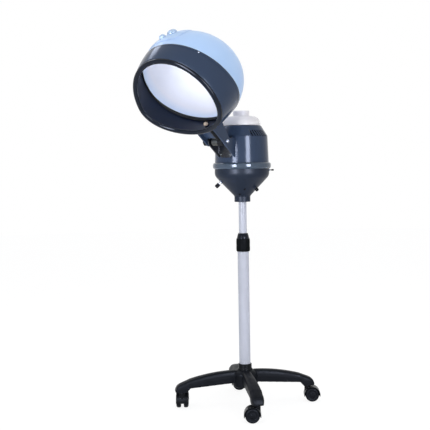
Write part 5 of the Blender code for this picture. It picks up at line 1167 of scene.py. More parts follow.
class STEAMER_OT_post(bpy.types.Operator):
    """Draw the two tubes of the post and the padded clamp between them"""
    bl_idname = "steamer.post"
    bl_label = "Post and clamp"
    bl_options = UNDOABLE
    TUBE_ROUNDING = 0.0008
    BORE_ROUNDING = 0.0004
    SLEEVE_RISE = 0.0004
    SLEEVE_ROUNDING = 0.0002
    CLAMP_TAPER_RISE = 0.0015
    CLAMP_FOOT_RISE = 0.001
    CLAMP_FOOT_STEP = 0.0022
    # Radius and height of the room for the collet inside the clamp
    COLLET_ROOM = ((0.0218, 0.5797), (0.0218, 0.5808), (0.0163, 0.5978))
    PAD_SHORTER = 0.0055
    PAD_BACK = 0.001
    PAD_STEPS = 64
    PAD_SQUARENESS = 0.35
    # Share of a pad's outline and of its rise, from its edge to its middle
    PAD_SECTIONS = ((1.0, -0.0006), (0.985, 0.6), (0.95, 1.0), (0.5, 1.05), (0.0, 1.05))

    def execute(self, context):
        size = context.scene.steamer_stand
        for node, radius, body in (("lower_post", size.lower_tube_radius, "base"),
                                   ("upper_post", size.upper_tube_radius, "head")):
            low, high = (corner.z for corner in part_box(node))
            bore = radius - size.tube_wall
            corners = [(radius, high, self.TUBE_ROUNDING), (radius, low, self.TUBE_ROUNDING),
                       (bore, low, self.BORE_ROUNDING), (bore, high, self.BORE_ROUNDING)]
            if body == "base":
                corners[1:1] = self.sleeve_corners(size)
            make(node.replace("post", "tube"), turned(corners, loop=True),
                 "powder_coated_steel_white", body, node)
        self.add_clamp(size)
        return {"FINISHED"}

    def sleeve_corners(self, size):
        """The thin sleeve on the lower tube, right under the clamp."""
        radius = size.lower_tube_radius
        brim = radius + self.SLEEVE_RISE
        end = foot("clamp_nut") - CLEARANCE
        start = end - size.tube_sleeve
        return [(radius, end, 0), (brim, end, self.SLEEVE_ROUNDING), (brim, start, self.SLEEVE_ROUNDING),
                (radius, start - self.SLEEVE_RISE, 0)]

    def add_clamp(self, size):
        """The clamp, polished above its shoulder and grained where a hand grips it."""
        low, high = (corner.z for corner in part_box("clamp_nut"))
        shoulder = size.clamp_shoulder
        radius = size.clamp_radius
        sleeve = size.lower_tube_radius + CLEARANCE
        throat = size.upper_tube_radius + CLEARANCE
        floor = self.COLLET_ROOM[0][1]
        ceiling = self.COLLET_ROOM[-1][1]
        body = turned([
            (size.clamp_top_radius, high, 0.0012),
            (radius - size.clamp_step, shoulder + self.CLAMP_TAPER_RISE, 0.0008), (radius, shoulder, 0.001),
            (radius, low + self.CLAMP_FOOT_RISE, 0.003), (radius - self.CLAMP_FOOT_STEP, low, 0.0012),
            (sleeve, low, 0.0005), (sleeve, floor, 0), *((r, height, 0) for r, height in self.COLLET_ROOM),
            (throat, ceiling, 0), (throat, high, 0.0008)], loop=True)
        pads = ring_of(self.pad_shape(size, shoulder - low - self.PAD_SHORTER), "smooth_abs_black",
                       size.clamp_pads, 0.0, (shoulder + low) / 2, first=math.pi / size.clamp_pads)
        pads.transform(Matrix.Translation(POST))
        clamp = make("clamp_sleeve", together(body, pads), "polished_abs_night", "clamp", "clamp_nut")
        second_finish(clamp, "grained_abs_black",
                      [face for face in clamp.data.polygons if face.center.z < shoulder])

    def pad_shape(self, size, tall):
        """A rounded grip pad that follows the sleeve round Z, in the middle of +X."""
        half = math.pi / size.clamp_pads * size.clamp_pad_share
        rings = []
        for share, rise in self.PAD_SECTIONS:
            radius = size.clamp_radius + size.clamp_pad_rise * rise
            ring = []
            for turn in turn_steps(self.PAD_STEPS):
                across = half * (squarish(math.cos(turn), self.PAD_SQUARENESS) * share)
                up = squarish(math.sin(turn), self.PAD_SQUARENESS) * share
                ring.append(Vector((radius * math.cos(across), radius * math.sin(across), up * tall / 2)))
            rings.append(ring if share else [Vector((radius, 0, 0))])
        back = [Vector((point.x - self.PAD_BACK, point.y, point.z)) for point in rings[0]]
        return skin([back, *rings])


class STEAMER_OT_boiler(bpy.types.Operator):
    """Turn the bowl, the band and the casing of the boiler"""
    bl_idname = "steamer.boiler"
    bl_label = "Boiler shells"
    bl_options = UNDOABLE
    BRIM_DEPTH = 0.024
    BRIM_DEPTH_INSIDE = 0.022
    POST_BORE = 0.0143
    NECK_BORE = 0.0195
    NECK_BORE_TOP = 0.741
    CONE_WALL = 0.0022
    CONE_FLOOR = 0.002
    BAND_WALL = 0.0021
    BAND_EDGE = 0.003

    def execute(self, context):
        size = context.scene.steamer_boiler
        seam = size.seam_radius
        inside = seam - size.shell_wall
        brim = size.band_bottom - CLEARANCE
        socket = top("upper_post")
        make("bowl_shell", turned([
            (seam, size.seam_top, 0), (seam, brim, 0), (size.bowl_radius, brim, 0.0012),
            (size.bowl_radius, brim - self.BRIM_DEPTH, 0.020), (size.cone_radius, size.cone_top, 0.010),
            (size.neck_radius, size.neck_top, 0.004), (size.neck_radius, size.neck_bottom, 0.0012),
            (self.POST_BORE, size.neck_bottom, 0.0006), (self.POST_BORE, socket, 0),
            (self.NECK_BORE, socket, 0), (self.NECK_BORE, self.NECK_BORE_TOP, 0),
            (size.cone_radius - self.CONE_WALL, size.cone_top + self.CONE_FLOOR, 0.008),
            (size.bowl_radius - size.shell_wall, brim - self.BRIM_DEPTH_INSIDE, 0.015),
            (inside, brim, 0), (inside, size.seam_top, 0)], loop=True),
            "satin_abs_graphite", "head", "boiler_bowl")
        low = size.band_bottom
        high = low + size.band_height
        edge = seam + self.BAND_WALL
        bulge = edge + size.band_bulge
        make("gloss_band", turned([
            (edge, high, 0.0006), (bulge, high - self.BAND_EDGE, 0.006),
            (bulge, low + self.BAND_EDGE, 0.006), (edge, low, 0.0006),
            (seam + CLEARANCE, low, 0), (seam + CLEARANCE, high, 0)], loop=True),
            "polished_abs_band", "head", "boiler_band")
        make("casing_shell", turned([
            (size.casing_top_radius, size.casing_top, 0.0016), (seam, high + CLEARANCE, 0.0008),
            (seam, size.casing_bottom, 0), (inside, size.casing_bottom, 0),
            (size.casing_top_radius - size.shell_wall, size.casing_top, 0.0006)], loop=True),
            "polished_abs_slate", "head", "boiler_casing")
        return {"FINISHED"}


class STEAMER_OT_cover(bpy.types.Operator):
    """Turn the top cover and cut its leaning vents, with painted shade on their walls"""
    bl_idname = "steamer.cover"
    bl_label = "Vented cover"
    bl_options = UNDOABLE
    EDGE_HEIGHT = 0.0012
    EDGE_STEP = 0.0004
    SKIRT_DEPTH = 0.006
    VENT_DROP = 0.006

    def execute(self, context):
        size = context.scene.steamer_boiler
        wall = size.cover_wall
        low = size.casing_top + CLEARANCE
        hem = low - self.SKIRT_DEPTH
        skirt = size.casing_top_radius - size.shell_wall - CLEARANCE
        cover = as_object("cover_shell", turned([
            (size.cover_top_radius, size.cover_top, 0.0020),
            (size.cover_waist_radius, size.cover_waist, 0.010),
            (size.casing_top_radius, low + self.EDGE_HEIGHT, 0.0012),
            (size.casing_top_radius - self.EDGE_STEP, low, 0.0003), (skirt, low, 0), (skirt, hem, 0),
            (skirt - wall, hem, 0), (skirt - wall, low, 0),
            (size.cover_waist_radius - wall, size.cover_waist - wall, 0.008),
            (size.cover_top_radius - wall, size.cover_top - wall, 0.001),
            (size.deck_hole, size.cover_top - wall, 0),
            (size.deck_hole, size.cover_top, 0.0006)], loop=True))
        cover.data.materials.append(finish("polished_abs_slate"))
        for first, hand in ((size.vent_first, 1), (math.pi - size.vent_first, -1)):
            slot = block((size.vent_length, size.vent_width, size.vent_length))
            slots = ring_of(slot, "polished_abs_slate", size.vents, size.cover_waist_radius,
                            size.cover_waist - self.VENT_DROP, first=first, step=hand * size.vent_step,
                            lean=hand * size.vent_lean)
            slots.transform(Matrix.Translation(POST))
            # The vents' cut walls get the near-black finish as painted shade
            boolean(cover, slots, "DIFFERENCE", "grained_abs_black")
        walls = [face.index for face in cover.data.polygons if face.material_index]
        settle(cover, "polished_abs_slate", "head", "top_cover")
        second_finish(cover, "grained_abs_black", [cover.data.polygons[index] for index in walls])
        return {"FINISHED"}


class STEAMER_OT_tank(bpy.types.Operator):
    """Turn the milky water tank that lifts out of the cover"""
    bl_idname = "steamer.tank"
    bl_label = "Water tank"
    bl_options = UNDOABLE
    GRIP_FOOT = 0.001
    SIDE_LEAN = 0.0025
    FOOT_HEIGHT = 0.003
    FOOT_STEP = 0.0015
    FLOOR_STEP = 0.001

    def execute(self, context):
        size = context.scene.steamer_boiler
        wall = size.tank_wall
        low = size.tank_bottom
        floor = low + wall
        side = low + size.tank_side_height
        shoulder = low + size.tank_shoulder_height
        high = size.tank_top
        radius = size.tank_radius
        grip = size.tank_grip_radius
        neck = size.tank_neck_radius
        neck_low = low - size.tank_neck_length
        make("milky_tank", turned([
            (0, high, 0), (grip, high, 0.003), (grip, shoulder + self.GRIP_FOOT, 0.003),
            (size.tank_shoulder_radius, shoulder, 0.008), (radius - self.SIDE_LEAN, side, 0.010),
            (radius, low + self.FOOT_HEIGHT, 0.002), (radius - self.FOOT_STEP, low, 0.001),
            (neck, low, 0.0006), (neck, neck_low, 0.0006), (neck - wall, neck_low, 0.0006),
            (neck - wall, floor, 0.001),
            (radius - wall - self.FLOOR_STEP, floor, 0.001), (radius - wall - self.SIDE_LEAN, side, 0.008),
            (size.tank_shoulder_radius - wall / 2, shoulder - wall, 0.006),
            (grip - wall, shoulder - wall, 0.002), (grip - wall, high - wall, 0.002), (0, high - wall, 0)]),
            "milky_polypropylene_tank", "tank", "water_tank")
        return {"FINISHED"}


class STEAMER_OT_hinge(bpy.types.Operator):
    """Soften the yoke and the bracket, and make the pivot bolt and the lobed tilt knob"""
    bl_idname = "steamer.hinge"
    bl_label = "Hinge"
    bl_options = UNDOABLE
    BLEND_PASSES = 4
    # How deep the slate finish of the yoke's ears reaches in on the right and on the left
    RIGHT_SLATE = 0.0095
    LEFT_SLATE = 0.002
    PAD_STEPS = 14
    PAD_SHARE = 0.82
    PAD_BACK, PAD_FRONT = 0.007, 0.004
    PAD_CORNER = 0.65
    PAD_CORNER_RISE = 0.020
    EYE_RADIUS = 0.0138
    # Angles of the eye's outline in degrees, and steps between them
    EYE_FROM, EYE_TO = 85, 232
    EYE_STEPS = 24
    EAR_TOP = 0.011
    EAR_FOOT = 0.001
    EAR_ROOT = 0.001
    EAR_WALL = 0.006
    WEB_BACK, WEB_LIFT = 0.012, 0.010
    WEB_SIDE_GAP = 0.002
    WEB_WALL = 0.003
    WEB_START = 0.019
    # Radius, height above the bolt's seat, and rounding
    BOLT_HEAD = ((0, 0.0022, 0), (0.0022, 0.0022, 0.0002), (0.0026, 0.0044, 0.0003), (0.0044, 0.0044, 0.001),
                 (0.0056, 0.0026, 0.001), (0.0058, 0.0014, 0.0003), (0.0070, 0.0012, 0.0003),
                 (0.0072, 0.0, 0.0003), (0.005, 0.0, 0))
    BOLT_HEAD_HEIGHT = 0.0045
    SHANK_RADIUS = 0.005
    KNOB_THICKNESS = 0.015
    KNOB_FALL = 0.0028
    KNOB_EDGE = 0.002
    SHANK_OVERLAP = 0.001
    LOBE_DEPTH = 0.14
    LOBE_POWER = 1.5
    LOBE_SPREAD = 3

    def execute(self, context):
        size = context.scene.steamer_boiler
        pivot = joint_at("hood_tilt")
        yoke = mould("yoke_moulding", self.yoke_shape(size, pivot), size.hinge_grid, self.BLEND_PASSES,
                     "smooth_nylon_black", "head", "hinge_yoke")
        left, right = (corner.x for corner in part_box("hinge_yoke"))
        second_finish(yoke, "polished_abs_slate", [
            face for face in yoke.data.polygons
            if face.center.x > right - self.RIGHT_SLATE or face.center.x < left + self.LEFT_SLATE])
        bracket = together(frame_copy("hood_bracket"), self.web_shape(pivot))
        mould("bracket_moulding", bracket, size.hinge_grid, self.BLEND_PASSES, "polished_abs_slate", "hood",
              "hood_bracket")
        self.add_bolt(pivot)
        self.add_knob(size, pivot)
        return {"FINISHED"}

    def yoke_shape(self, size, pivot):
        """A pad that follows the casing, and two ears that taper down from the pivot to it."""
        low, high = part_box("hinge_yoke")
        casing = size.seam_radius + CLEARANCE
        inner, outer = casing - self.PAD_BACK, casing + self.PAD_FRONT
        spread = math.asin((high.x - pivot.x) / casing)
        rings = []
        for k in range(self.PAD_STEPS + 1):
            share = 2 * k / self.PAD_STEPS - 1
            lean = spread * share * self.PAD_SHARE
            facing = Vector((math.sin(lean), -math.cos(lean), 0))
            corner = max(0.0, abs(share) - self.PAD_CORNER)
            bottom = low.z + self.PAD_CORNER_RISE * corner / (1 - self.PAD_CORNER)
            rings.append([POST + facing * radius + Vector((0, 0, height)) for radius, height in (
                (inner, bottom), (outer, bottom), (outer, high.z), (inner, high.z))])
        back = POST.y - casing * math.cos(spread) - self.EAR_ROOT
        eye = arc((pivot.y, pivot.z), self.EYE_RADIUS, self.EYE_FROM, self.EYE_TO, self.EYE_STEPS)
        outline = [(back, pivot.z + self.EAR_TOP)] + eye + [(back, low.z + self.EAR_FOOT)]
        ears = [skin([[Vector((x, y, z)) for y, z in outline] for x in (side, side + self.EAR_WALL)])
                for side in (low.x, high.x - self.EAR_WALL)]
        return together(skin(rings), *ears)

    def web_shape(self, pivot):
        """A web between the bracket's cheeks, from the steam joint up to the saddle."""
        low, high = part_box("hood_bracket")
        middle = (low + high) / 2
        lift = Vector((0, middle.y - self.WEB_BACK - pivot.y, middle.z + self.WEB_LIFT - pivot.z))
        tall = lift.length - self.WEB_START
        wide = high.x - low.x - self.WEB_SIDE_GAP
        web = block((wide, self.WEB_WALL, tall), (0, 0, self.WEB_START + tall / 2))
        web.transform(Matrix.Translation(pivot) @ Matrix.Rotation(math.atan2(-lift.y, lift.z), 4, "X"))
        return web

    def add_bolt(self, pivot):
        """The pivot bolt, with a raised head that has a round recess."""
        low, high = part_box("pivot_bolt")
        seat = high.x - pivot.x - self.BOLT_HEAD_HEIGHT
        tip = low.x - pivot.x
        corners = [(radius, seat + height, rounding) for radius, height, rounding in self.BOLT_HEAD]
        corners += [(self.SHANK_RADIUS, tip, 0.0006), (0, tip, 0)]
        across = Matrix.Translation(pivot) @ Matrix.Rotation(math.pi / 2, 4, "Y")
        make("pivot_bolt_head", turned(corners, across, steps=SMALL_STEPS),
             "turned_stainless_steel", "hood", "pivot_bolt")

    def add_knob(self, size, pivot):
        """The tilt knob with its shank; its profile's radii are shares of the knob's radius."""
        low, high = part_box("tilt_knob")
        face = pivot.x - low.x
        stud = pivot.x - high.x
        back = face - self.KNOB_THICKNESS
        root = back + self.SHANK_OVERLAP
        grip = skin([self.lobed_ring(size, share, height) for share, height in rounded([
            (0, face, 0), (0.45, face, 0.02), (0.86, face, 0.12), (1.0, face - self.KNOB_FALL, 0.002),
            (1.0, back + self.KNOB_EDGE, 0.001), (0.92, back, 0.001), (0, back, 0)])])
        shank = turned([(0, root, 0), (self.SHANK_RADIUS, root, 0), (self.SHANK_RADIUS, stud, 0.0006),
                        (0, stud, 0)], LOCAL, steps=SMALL_STEPS)
        whole = together(grip, shank)
        whole.transform(Matrix.Translation(pivot) @ Matrix.Rotation(-math.pi / 2, 4, "Y"))
        make("tilt_knob_lobes", whole, "smooth_abs_black", "tilt_lock", "tilt_knob")

    def lobed_ring(self, size, share, height):
        """A ring of the knob: round near its middle, lobed at its edge."""
        if share < MERGE_DISTANCE:
            return [Vector((0, 0, height))]
        ring = []
        for turn in turn_steps(ROUND_STEPS):
            hollow = (0.5 - 0.5 * math.cos(turn * size.knob_lobes)) ** self.LOBE_POWER
            dip = self.LOBE_DEPTH * hollow * share ** self.LOBE_SPREAD
            radius = size.knob_radius * share * (1 - dip)
            ring.append(Vector((radius * math.cos(turn), radius * math.sin(turn), height)))
        return ring


class STEAMER_OT_steam_path(bpy.types.Operator):
    """Make the steam outlet, the elbow that turns on it and the nozzle inside the hood"""
    bl_idname = "steamer.steam_path"
    bl_label = "Steam path"
    bl_options = UNDOABLE
    PIPES = (("steam_outlet", "outlet_pipe", "black_zinc_plated_steel", "head"),
             ("steam_elbow", "elbow_hose", "matt_silicone_black", "hood"))
    GRID_SHARE = 0.8
    BLEND_PASSES = 3
    NOZZLE = ((0, 0.003, 0), (0.0020, 0.003, 0.0002), (0.0024, 0.0048, 0.0004), (0.0044, 0.0048, 0.0010),
              (0.0054, 0.0016, 0.001), (0.0076, 0.0009, 0.0007), (0.0080, -0.0038, 0.0006), (0, -0.0038, 0))
    NOZZLE_SHIFT = (0.005, -0.002, -0.003)
    NOZZLE_LEAN = 0.35

    def execute(self, context):
        scene = context.scene
        for node, name, surface, body in self.PIPES:
            mould(name, frame_copy(node), scene.steamer_boiler.hinge_grid * self.GRID_SHARE,
                  self.BLEND_PASSES, surface, body, node)
        low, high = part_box("steam_nozzle")
        up = plane_axes(scene.steamer_hood.rim_tilt)[0]
        place = aimed((low + high) / 2 + Vector(self.NOZZLE_SHIFT), Vector((self.NOZZLE_LEAN, up.y, up.z)))
        make("nozzle_cap", turned(self.NOZZLE, place, steps=KNOB_STEPS),
             "moulded_nylon_beige", "hood", "steam_nozzle")
        return {"FINISHED"}


class STEAMER_OT_hood_ring(bpy.types.Operator):
    """Make the polished ring, its black lip and the gasket inside it"""
    bl_idname = "steamer.hood_ring"
    bl_label = "Hood ring"
    bl_options = UNDOABLE
    # Share of the way from the dome's joint to the lip, and how far the ring's outside stands back there:
    # a broken edge, a fine groove, the smooth side and the other broken edge
    GROOVED_START = ((0.0, 0.0012), (0.004, 0.0004), (0.014, 0.0), (0.0625, 0.0), (0.120, 0.0),
                     (0.124, 0.0007), (0.136, 0.0007), (0.140, 0.0))
    SIDE_STEPS = 16
    SIDE_FIRST = 3
    ROUNDED_END = ((0.985, 0.0), (0.996, 0.0004), (1.0, 0.0012))
    INSIDE_STEPS = 12
    INSIDE_EDGE = 0.006
    EDGE_BREAK = 0.0006
    LIP_SHOULDER = 0.0036
    LIP_FLAT_START, LIP_FLAT_END = 0.0044, 0.0045
    LIP_EDGE = 0.0042
    LIP_TAPER = 0.002
    GASKET_THIN = 0.4
    GASKET_HEEL = 0.002
    GASKET_BEAD = 0.003
    GASKET_GROOVE = 0.0025
    GASKET_TAPER = 0.001

    def execute(self, context):
        hood = context.scene.steamer_hood
        self.add_ring(hood)
        self.add_lip(hood)
        self.add_gasket(hood)
        return {"FINISHED"}

    def add_ring(self, hood):
        """The ring, polished outside and matt inside, with its inside painted darker as shade."""
        wall = hood.ring_wall
        outside = [*self.GROOVED_START,
                   *((k / self.SIDE_STEPS, 0.0) for k in range(self.SIDE_FIRST, self.SIDE_STEPS)),
                   *self.ROUNDED_END]
        inside = [(1.0, wall - self.EDGE_BREAK), (1.0 - self.INSIDE_EDGE, wall),
                  *((k / self.INSIDE_STEPS, wall) for k in range(self.INSIDE_STEPS - 1, 0, -1)),
                  (self.INSIDE_EDGE, wall), (0.0, wall - self.EDGE_BREAK)]
        rows = hood_rows(hood, ring_point, outside + inside)
        ring = make("ring_shell", skin(rows, loop=True), "polished_abs_slate", "hood", "hood_ring")
        second_finish(ring, "matt_abs_slate", ring.data.polygons[len(outside) * HOOD_STEPS:])

    def add_lip(self, hood):
        """The rolled bead round the opening; its profile runs inwards and forwards from the rim."""
        skin_depth = self.EDGE_BREAK
        back = CLEARANCE - hood.lip_depth
        width = hood.lip_width
        profile = rounded([
            (skin_depth, back, 0.0006), (skin_depth, -self.LIP_SHOULDER, 0.0026),
            (self.LIP_FLAT_START, -skin_depth, 0.003), (width - self.LIP_FLAT_END, -skin_depth, 0.003),
            (width - CLEARANCE, -self.LIP_EDGE, 0.003), (width - self.LIP_TAPER, back, 0.0008)], loop=True)
        make("lip_bead", skin(hood_rows(hood, rim_point, profile), loop=True), "polished_abs_night", "hood",
             "hood_lip")

    def add_gasket(self, hood):
        """The gasket under the liner, grooved, and slimmer at the forehead than at the nape."""
        seat, high = self.gasket_seat(hood)
        inner = seat + hood.gasket_width
        middle = high + hood.gasket_height / 2
        low = high + hood.gasket_height
        profile = rounded([
            (seat, high, 0.0006), (seat, low, 0.0006), (inner - self.GASKET_HEEL, low, 0.002),
            (inner, middle + self.GASKET_BEAD, 0.001), (inner - self.GASKET_GROOVE, middle, 0.001),
            (inner, middle - self.GASKET_BEAD, 0.001), (inner - self.GASKET_TAPER, high, 0.002)], loop=True)
        make("gasket_ring", skin(hood_rows(hood, self.gasket_point, profile), loop=True),
             "matt_silicone_black", "hood", "liner_gasket")

    def gasket_seat(self, hood):
        """How far inside the ring's outline and how deep below the dome's joint the gasket is seated."""
        return hood.ring_wall + CLEARANCE, hood.liner_skirt + CLEARANCE

    def gasket_point(self, hood, turn, inset, depth):
        """A point of the profile, drawn towards the gasket's seat by how slim it is there."""
        seat, high = self.gasket_seat(hood)
        thick = between(self.GASKET_THIN, 1, max(0.0, -math.sin(turn)))
        return deep_point(hood, turn, between(seat, inset, thick), between(high, depth, thick))


class STEAMER_OT_dome(bpy.types.Operator):
    """Make the blue dome and the pale liner inside it"""
    bl_idname = "steamer.dome"
    bl_label = "Dome and liner"
    bl_options = UNDOABLE
    DOME_INSET = 0.0006

    def execute(self, context):
        hood = context.scene.steamer_hood
        make("dome_shell", dome_shell(hood, self.DOME_INSET, hood.dome_wall - self.DOME_INSET, CLEARANCE),
             "tinted_polycarbonate_blue", "hood", "hood_dome")
        liner = as_object("liner_shell", dome_shell(hood, hood.liner_inset, hood.liner_wall, 0.0,
                                                    hood.liner_skirt))
        # The rise places the liner's painted blue light near its edge
        self.mark_rise(hood, liner)
        settle(liner, "matt_polypropylene_pale", "hood", "hood_liner")
        return {"FINISHED"}

    def mark_rise(self, hood, piece):
        """Write each point's share of the dome's depth, from its joint (0) to its crown (1)."""
        out = plane_axes(hood.joint_tilt)[1]
        centre = joint_centre(hood)
        rise = piece.data.attributes.new("rise", "FLOAT", "POINT")
        for vertex in piece.data.vertices:
            rise.data[vertex.index].value = (centre - vertex.co).dot(out) / hood.dome_depth


class STEAMER_OT_crown(bpy.types.Operator):
    """Make the crown panel and the two rounded caps on it"""
    bl_idname = "steamer.crown"
    bl_label = "Crown panel"
    bl_options = UNDOABLE
    # Number, degrees round the joint, degrees up the dome, radius and height
    CAPS = ((1, 105.0, 16.0, 0.0115, 0.0108), (2, 97.0, 24.0, 0.0165, 0.0118))
    CAP_FLAT = 0.55
    CAP_SHOULDER = 0.45
    CAP_FLARE = 0.001
    CAP_DEPTH = 0.003
    COLUMNS, ROWS = 36, 28
    CORNER_DRAW = 0.22
    EDGE_FALL = 0.7
    EDGE_POWER = 10
    EDGE_ROUNDING = 0.0003
    EDGE_SEGMENTS = 2

    def execute(self, context):
        hood = context.scene.steamer_hood
        panel = as_object("crown_plate", self.panel_shape(hood))
        soften(panel, self.EDGE_ROUNDING, self.EDGE_SEGMENTS)
        settle(panel, "tinted_polycarbonate_blue", "hood", "crown_panel")
        for cap, turn, climb, radius, height in self.CAPS:
            turn, climb = math.radians(turn), math.radians(climb)
            seat = dome_point(hood, turn, climb, -hood.panel_thickness)
            place = raised(seat, dome_normal(hood, turn, climb))
            flare = radius + self.CAP_FLARE
            make("crown_hump_%d" % cap, turned([
                (0, height, 0), (radius * self.CAP_FLAT, height, 0.005),
                (radius, height * self.CAP_SHOULDER, 0.004), (flare, -self.CAP_FLARE, 0.0015),
                (flare, -self.CAP_DEPTH, 0), (0, -self.CAP_DEPTH, 0)], place, steps=KNOB_STEPS),
                "clear_polycarbonate_grey", "hood", "crown_cap_%d" % cap)
        return {"FINISHED"}

    def panel_shape(self, hood):
        """The panel as a grid over the dome, its corners drawn in, with a top and an underside."""
        middle_turn = (hood.panel_first + hood.panel_last) / 2
        middle_climb = (hood.panel_low + hood.panel_high) / 2
        rings = []
        for row in range(self.ROWS + 1):
            down = 2 * row / self.ROWS - 1
            above, under = [], []
            for column in range(self.COLUMNS + 1):
                across = 2 * column / self.COLUMNS - 1
                u = across * math.sqrt(1 - self.CORNER_DRAW * down * down)
                v = down * math.sqrt(1 - self.CORNER_DRAW * across * across)
                turn = middle_turn + u * (hood.panel_last - hood.panel_first) / 2
                climb = middle_climb + v * (hood.panel_high - hood.panel_low) / 2
                fall = 1 - self.EDGE_FALL * max(abs(across), abs(down)) ** self.EDGE_POWER
                above.append(dome_point(hood, turn, climb, -hood.panel_thickness * fall))
                under.append(dome_point(hood, turn, climb, 0.0))
            rings.append(above + under[::-1])
        return skin(rings)


class STEAMER_OT_controls(bpy.types.Operator):
    """Make the drain knob, the control knob, the toggle lever and the cord gland"""
    bl_idname = "steamer.controls"
    bl_label = "Controls"
    bl_options = UNDOABLE
    # Name, radius, start along the shaft and length
    KNOBS = (("drain", 0.0068, 0.0083, 0.017), ("control", 0.0060, 0.0043, 0.010))
    KNOB_TAPER = 0.0008
    KNOB_WAIST_TAPER = 0.0002
    KNOB_WAIST = 0.3
    RIBS = 18
    RIB_THICKNESS, RIB_WIDTH = 0.0014, 0.0011
    RIB_LENGTH = 0.7
    RIB_MIDDLE = 0.55
    RIB_SINK = 0.0004
    LEVER = ((0, 0.0130, 0), (0.0029, 0.0130, 0.0018), (0.0030, 0.0080, 0.002), (0.0018, 0.0020, 0.001),
             (0.0019, 0.0010, 0.0006), (0.0008, 0.0003, 0.0002), (0, 0.0002, 0))
    GLAND_PASSES = 3

    def execute(self, context):
        for knob in self.KNOBS:
            self.add_knob(*knob)
        self.add_toggle()
        mould("gland_nut", frame_copy("cord_gland"), context.scene.steamer_boiler.hinge_grid / 2,
              self.GLAND_PASSES, "textured_nylon_black", "head", "cord_gland")
        return {"FINISHED"}

    def add_knob(self, label, radius, start, stretch):
        """A ribbed knob on its shaft."""
        joint = label + "_turn"
        end = start + stretch
        body = turned([(0, end, 0), (radius - self.KNOB_TAPER, end, 0.0012),
                       (radius - self.KNOB_WAIST_TAPER, start + stretch * self.KNOB_WAIST, 0.0004),
                       (radius, start, 0.0008), (0, start, 0)], LOCAL, steps=KNOB_STEPS)
        rib = pill(self.RIB_THICKNESS, self.RIB_WIDTH, stretch * self.RIB_LENGTH)
        ribs = ring_of(rib, "smooth_abs_black", self.RIBS, radius - self.RIB_SINK,
                       start + stretch * self.RIB_MIDDLE)
        whole = together(body, ribs)
        whole.transform(raised(joint_at(joint), Vector(JOINTS[joint]["axis"])))
        make(label + "_grip", whole, "smooth_abs_black", label + "_turner", label + "_knob")

    def add_toggle(self):
        """The toggle's lever, which points straight away from the post."""
        pivot = joint_at("toggle_flip")
        place = aimed(pivot, (pivot - POST) * Vector((1, 1, 0)))
        make("toggle_bat", turned(self.LEVER, place, steps=SMALL_STEPS),
             "smooth_abs_black", "toggle", "toggle_lever")


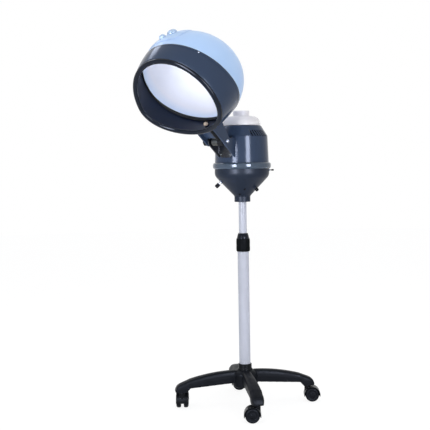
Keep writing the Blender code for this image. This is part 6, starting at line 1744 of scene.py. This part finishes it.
class STEAMER_OT_screws(bpy.types.Operator):
    """Set cross-head screws in the cone, the yoke, the bracket and the ring"""
    bl_idname = "steamer.screws"
    bl_label = "Screws"
    bl_options = UNDOABLE
    # Name, which is also the nodes' name in the plural, finish, body and size
    SETS = (("cone_screws", "smooth_abs_black", "head", 1.0),
            ("yoke_screws", "black_zinc_plated_steel", "head", 1.25),
            ("bracket_screws", "black_zinc_plated_steel", "hood", 1.25))
    HEAD_HEIGHT = 0.0021
    HEAD = ((0, 0.0022, 0), (0.0024, 0.0021, 0.001), (0.0038, 0.0009, 0.0008), (0.0038, 0.0, 0.0002),
            (0.0018, 0.0, 0), (0.0018, -0.006, 0.0004), (0, -0.006, 0))
    CROSS = ((0.0034, 0.0007, 0.003), (0.0007, 0.0034, 0.003))
    CROSS_MIDDLE = (0, 0, 0.0025)
    # Share of the way from the dome's joint to the lip, and the step that a slope is measured over
    FLANGE = 0.08
    FLANGE_STEP = 0.05
    RING_SCREW_STEP = math.radians(1.0)
    RING_SCREW_SINK = 0.0008
    RING_SCREW_SIZE = 0.8
    # Degrees round the dome's joint
    RING_SCREW_TURNS = (50.0, 130.0, 220.0, 320.0)

    def execute(self, context):
        for name, surface, body, size in self.SETS:
            nodes = ["%s_%d" % (name[:-1], k) for k in (1, 2)]
            self.set_screws(name, [self.frame_seat(node) for node in nodes], surface, body, size, nodes)
        hood = context.scene.steamer_hood
        seats = [self.ring_seat(hood, math.radians(turn)) for turn in self.RING_SCREW_TURNS]
        self.set_screws("ring_screws", seats, "turned_stainless_steel", "hood", self.RING_SCREW_SIZE, ())
        return {"FINISHED"}

    def frame_seat(self, node):
        """The place under a frame screw's head, and the way that the head faces."""
        shape = frame_copy(node)
        head = max(shape.faces, key=lambda face: face.calc_area())
        facing = head.normal.copy()
        place = head.calc_center_median() - facing * self.HEAD_HEIGHT
        shape.free()
        return place, facing

    def ring_seat(self, hood, turn):
        """The place of a small screw in the ring's flange, and the way that it faces."""
        step = self.RING_SCREW_STEP
        middle = ring_point(hood, turn, self.FLANGE)
        along = ring_point(hood, turn + step, self.FLANGE) - ring_point(hood, turn - step, self.FLANGE)
        down = ring_point(hood, turn, self.FLANGE + self.FLANGE_STEP) - middle
        facing = outward(along, down, middle - joint_centre(hood))
        return middle - facing * self.RING_SCREW_SINK, facing

    def set_screws(self, name, seats, surface, body, size, nodes):
        """Screws in one mesh, each set on its seat."""
        pattern = self.screw_pattern()
        mesh = bpy.data.meshes.new(name)
        mesh.from_pydata([place for place, facing in seats], [], [])
        attribute = mesh.attributes.new("facing", "FLOAT_VECTOR", "POINT")
        for k, (place, facing) in enumerate(seats):
            attribute.data[k].vector = facing
        host = add_object(name, mesh)
        grow(host, tree_of_seats(), Screw=pattern, Size=size, Finish=finish(surface))
        discard(pattern)
        settle(host, surface, body, *nodes)

    def screw_pattern(self):
        """A pan-head screw with a cross recess, its seat at zero."""
        screw = as_object("screw", turned(self.HEAD, LOCAL, steps=SCREW_STEPS))
        for size in self.CROSS:
            boolean(screw, block(size, self.CROSS_MIDDLE), "DIFFERENCE")
        return screw


OPERATORS = (STEAMER_OT_stage, STEAMER_OT_inner_parts, STEAMER_OT_base, STEAMER_OT_casters, STEAMER_OT_post,
             STEAMER_OT_boiler, STEAMER_OT_cover, STEAMER_OT_tank, STEAMER_OT_hinge, STEAMER_OT_steam_path,
             STEAMER_OT_hood_ring, STEAMER_OT_dome, STEAMER_OT_crown, STEAMER_OT_controls, STEAMER_OT_screws)
SETTINGS = {"steamer_colours": SteamerColours, "steamer_stand": StandSizes, "steamer_boiler": BoilerSizes,
            "steamer_hood": HoodSizes, "steamer_stage": StageSizes}


class STEAMER_PT_panel(bpy.types.Panel):
    """Lists the steps that dress the steamer"""
    bl_idname = "STEAMER_PT_panel"
    bl_label = "Hair steamer"
    bl_space_type = "VIEW_3D"
    bl_region_type = "UI"
    bl_category = "Hair steamer"

    def draw(self, context):
        for operator in OPERATORS:
            self.layout.operator(operator.bl_idname)


def register():
    """Register the settings, the operators and the panel."""
    for name, group in SETTINGS.items():
        bpy.utils.register_class(group)
        setattr(bpy.types.Scene, name, PointerProperty(type=group))
    for operator in OPERATORS:
        bpy.utils.register_class(operator)
    bpy.utils.register_class(STEAMER_PT_panel)


def unregister():
    """Undo register."""
    bpy.utils.unregister_class(STEAMER_PT_panel)
    for operator in reversed(OPERATORS):
        bpy.utils.unregister_class(operator)
    for name, group in reversed(SETTINGS.items()):
        delattr(bpy.types.Scene, name)
        bpy.utils.unregister_class(group)


def main():
    """Dress the frame in order."""
    register()
    for operator in OPERATORS:
        family, step = operator.bl_idname.split(".")
        getattr(getattr(bpy.ops, family), step)()


if __name__ == "__main__":
    main()
